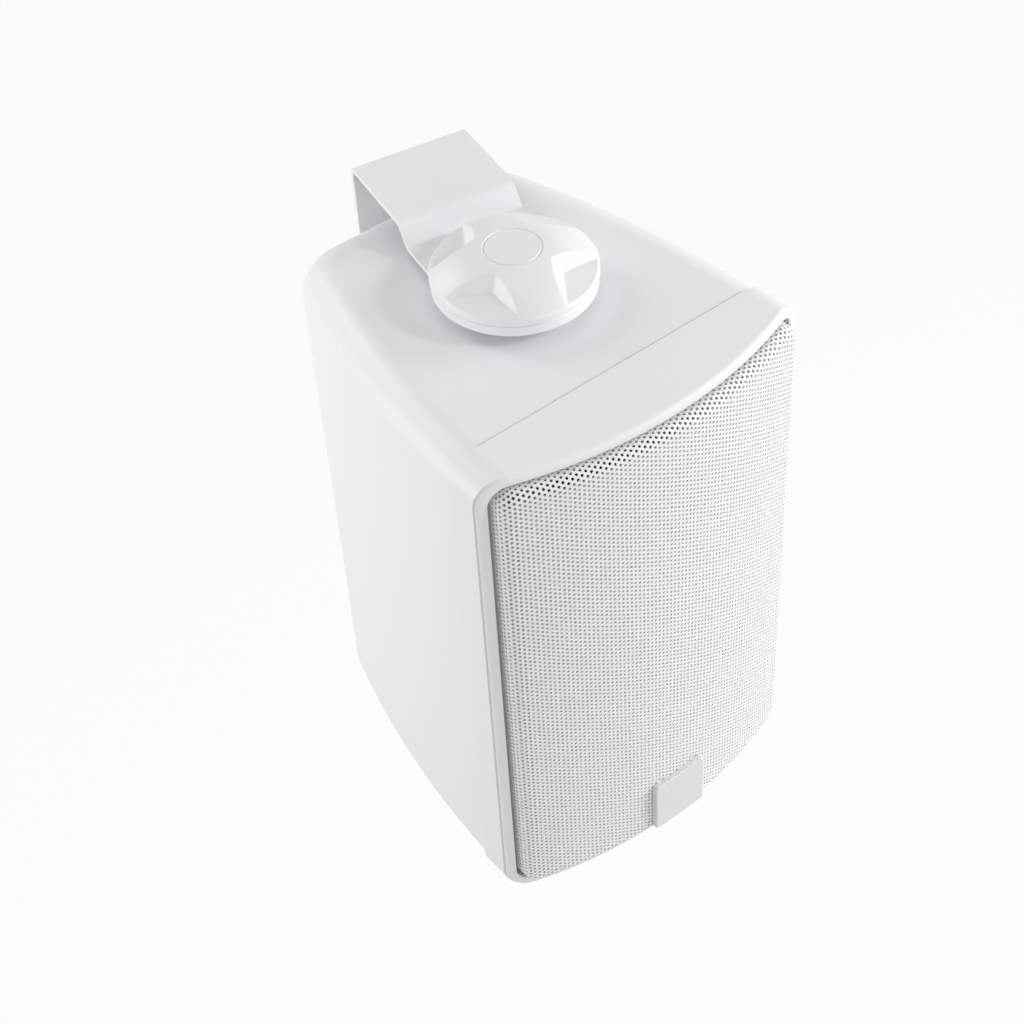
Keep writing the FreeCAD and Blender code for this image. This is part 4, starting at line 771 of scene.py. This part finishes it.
# %% Lamps
LAMP_DISTANCE = 2.0
MIDDLE = np.array([0.0, -0.09, 0.0])
LAMPS = {
    "lamp_key": {"compass": -38, "rise": 36, "size": 0.25, "power": 7.5},
    "lamp_right": {"compass": -15, "rise": 15, "size": 1.0, "power": 23.5},
    "lamp_left": {"compass": 190, "rise": 5, "size": 0.8, "power": 4.5},
    "lamp_back": {"compass": 120, "rise": 35, "size": 0.8, "power": 9},
    "lamp_top": {"compass": 0, "rise": 87, "size": 0.8, "power": 1.5},
    "lamp_front": {"compass": -85, "rise": 15, "size": 0.8, "power": 6.5},
}


def soft_lamp(name, place, aim, size, power):
    """A square lamp at `place` that faces `aim`, both in metres."""
    data = bpy.data.lights.new(name, "AREA")
    data.shape = "SQUARE"
    data.size = size
    data.energy = power
    away = np.array(place, float) - np.array(aim, float)
    away /= np.linalg.norm(away)
    side = np.cross([0, 0, 1], away)
    side /= np.linalg.norm(side)
    stand(add_object(name, data), side, np.cross(away, side), away, place)


def around(compass, rise):
    """A place round the middle: (cos c cos r, sin c cos r, sin r) times the lamps' distance."""
    compass, rise = math.radians(compass), math.radians(rise)
    way = [math.cos(compass) * math.cos(rise), math.sin(compass) * math.cos(rise), math.sin(rise)]
    return MIDDLE + LAMP_DISTANCE * np.array(way)


for name, lamp in LAMPS.items():
    soft_lamp(name, around(lamp["compass"], lamp["rise"]), MIDDLE, lamp["size"], lamp["power"])
soft_lamp("lamp_near_left", (-0.50, 0.08, 0.14), (-0.07, -0.06, 0.06), size=0.3, power=0.8)

# %% [markdown]
# ## Background and floor
#
# The world gives an even base of light. A white background needs more than that base, but more light would
# wash out the object, so only the rays that show the background see it at full strength: those from the
# camera, and those that a gloss or a clear piece sends on. The floor glows in the same rays, and its plain
# paint below that glow still takes a little of the object's shadow.

# %% Background
BASE_LIGHT = 0.4


def backdrop_rays(start):
    """1 for a ray from the camera, off a gloss or through a clear piece, which shows the backdrop; else 0."""
    kinds = ("Is Camera Ray", "Is Glossy Ray", "Is Transmission Ray")
    seen, gloss, clear = (start.node("ShaderNodeLightPath", output=kind) for kind in kinds)
    return start.math("MAXIMUM", start.math("MAXIMUM", seen, gloss), clear)


world = bpy.data.worlds.new("studio")
world.use_nodes = True
bpy.context.scene.world = world
world.node_tree.nodes.clear()
sky = Signal(world.node_tree)
strength = BASE_LIGHT + (1 - BASE_LIGHT) * backdrop_rays(sky)
background = sky.node("ShaderNodeBackground", {}, {"Color": (1, 1, 1, 1), "Strength": strength})
sky.node("ShaderNodeOutputWorld", {}, {"Surface": background})
bpy.context.scene.view_settings.view_transform = "Standard"
print("base light", BASE_LIGHT, "view", bpy.context.scene.view_settings.view_transform)

# %% Floor
FLOOR_Z, FLOOR_HALF = -1.0, 6
FLOOR_GLOW, FLOOR_PAINT = 0.9, 0.9

floor_plan = np.array([(-1, -1), (1, -1), (1, 1), (-1, 1)]) * FLOOR_HALF
floor_corners = np.column_stack([floor_plan, np.full(4, FLOOR_Z)])
floor_mesh = bpy.data.meshes.new("floor")
floor_mesh.from_pydata(floor_corners.tolist(), [], [(0, 1, 2, 3)])
floor = add_object("floor", floor_mesh)
floor_finish, paint = new_finish("studio_floor")
lit = paint.node("ShaderNodeBsdfDiffuse", {}, {"Color": (FLOOR_PAINT, FLOOR_PAINT, FLOOR_PAINT, 1)})
glow = paint.node("ShaderNodeEmission", {}, {"Color": (1, 1, 1, 1), "Strength": 1.0})
mixed = paint.node("ShaderNodeMixShader", {}, {0: FLOOR_GLOW * backdrop_rays(paint), 1: lit, 2: glow})
paint.node("ShaderNodeOutputMaterial", {}, {"Surface": mixed})
floor_mesh.materials.append(floor_finish)
print("floor at", FLOOR_Z, "m")
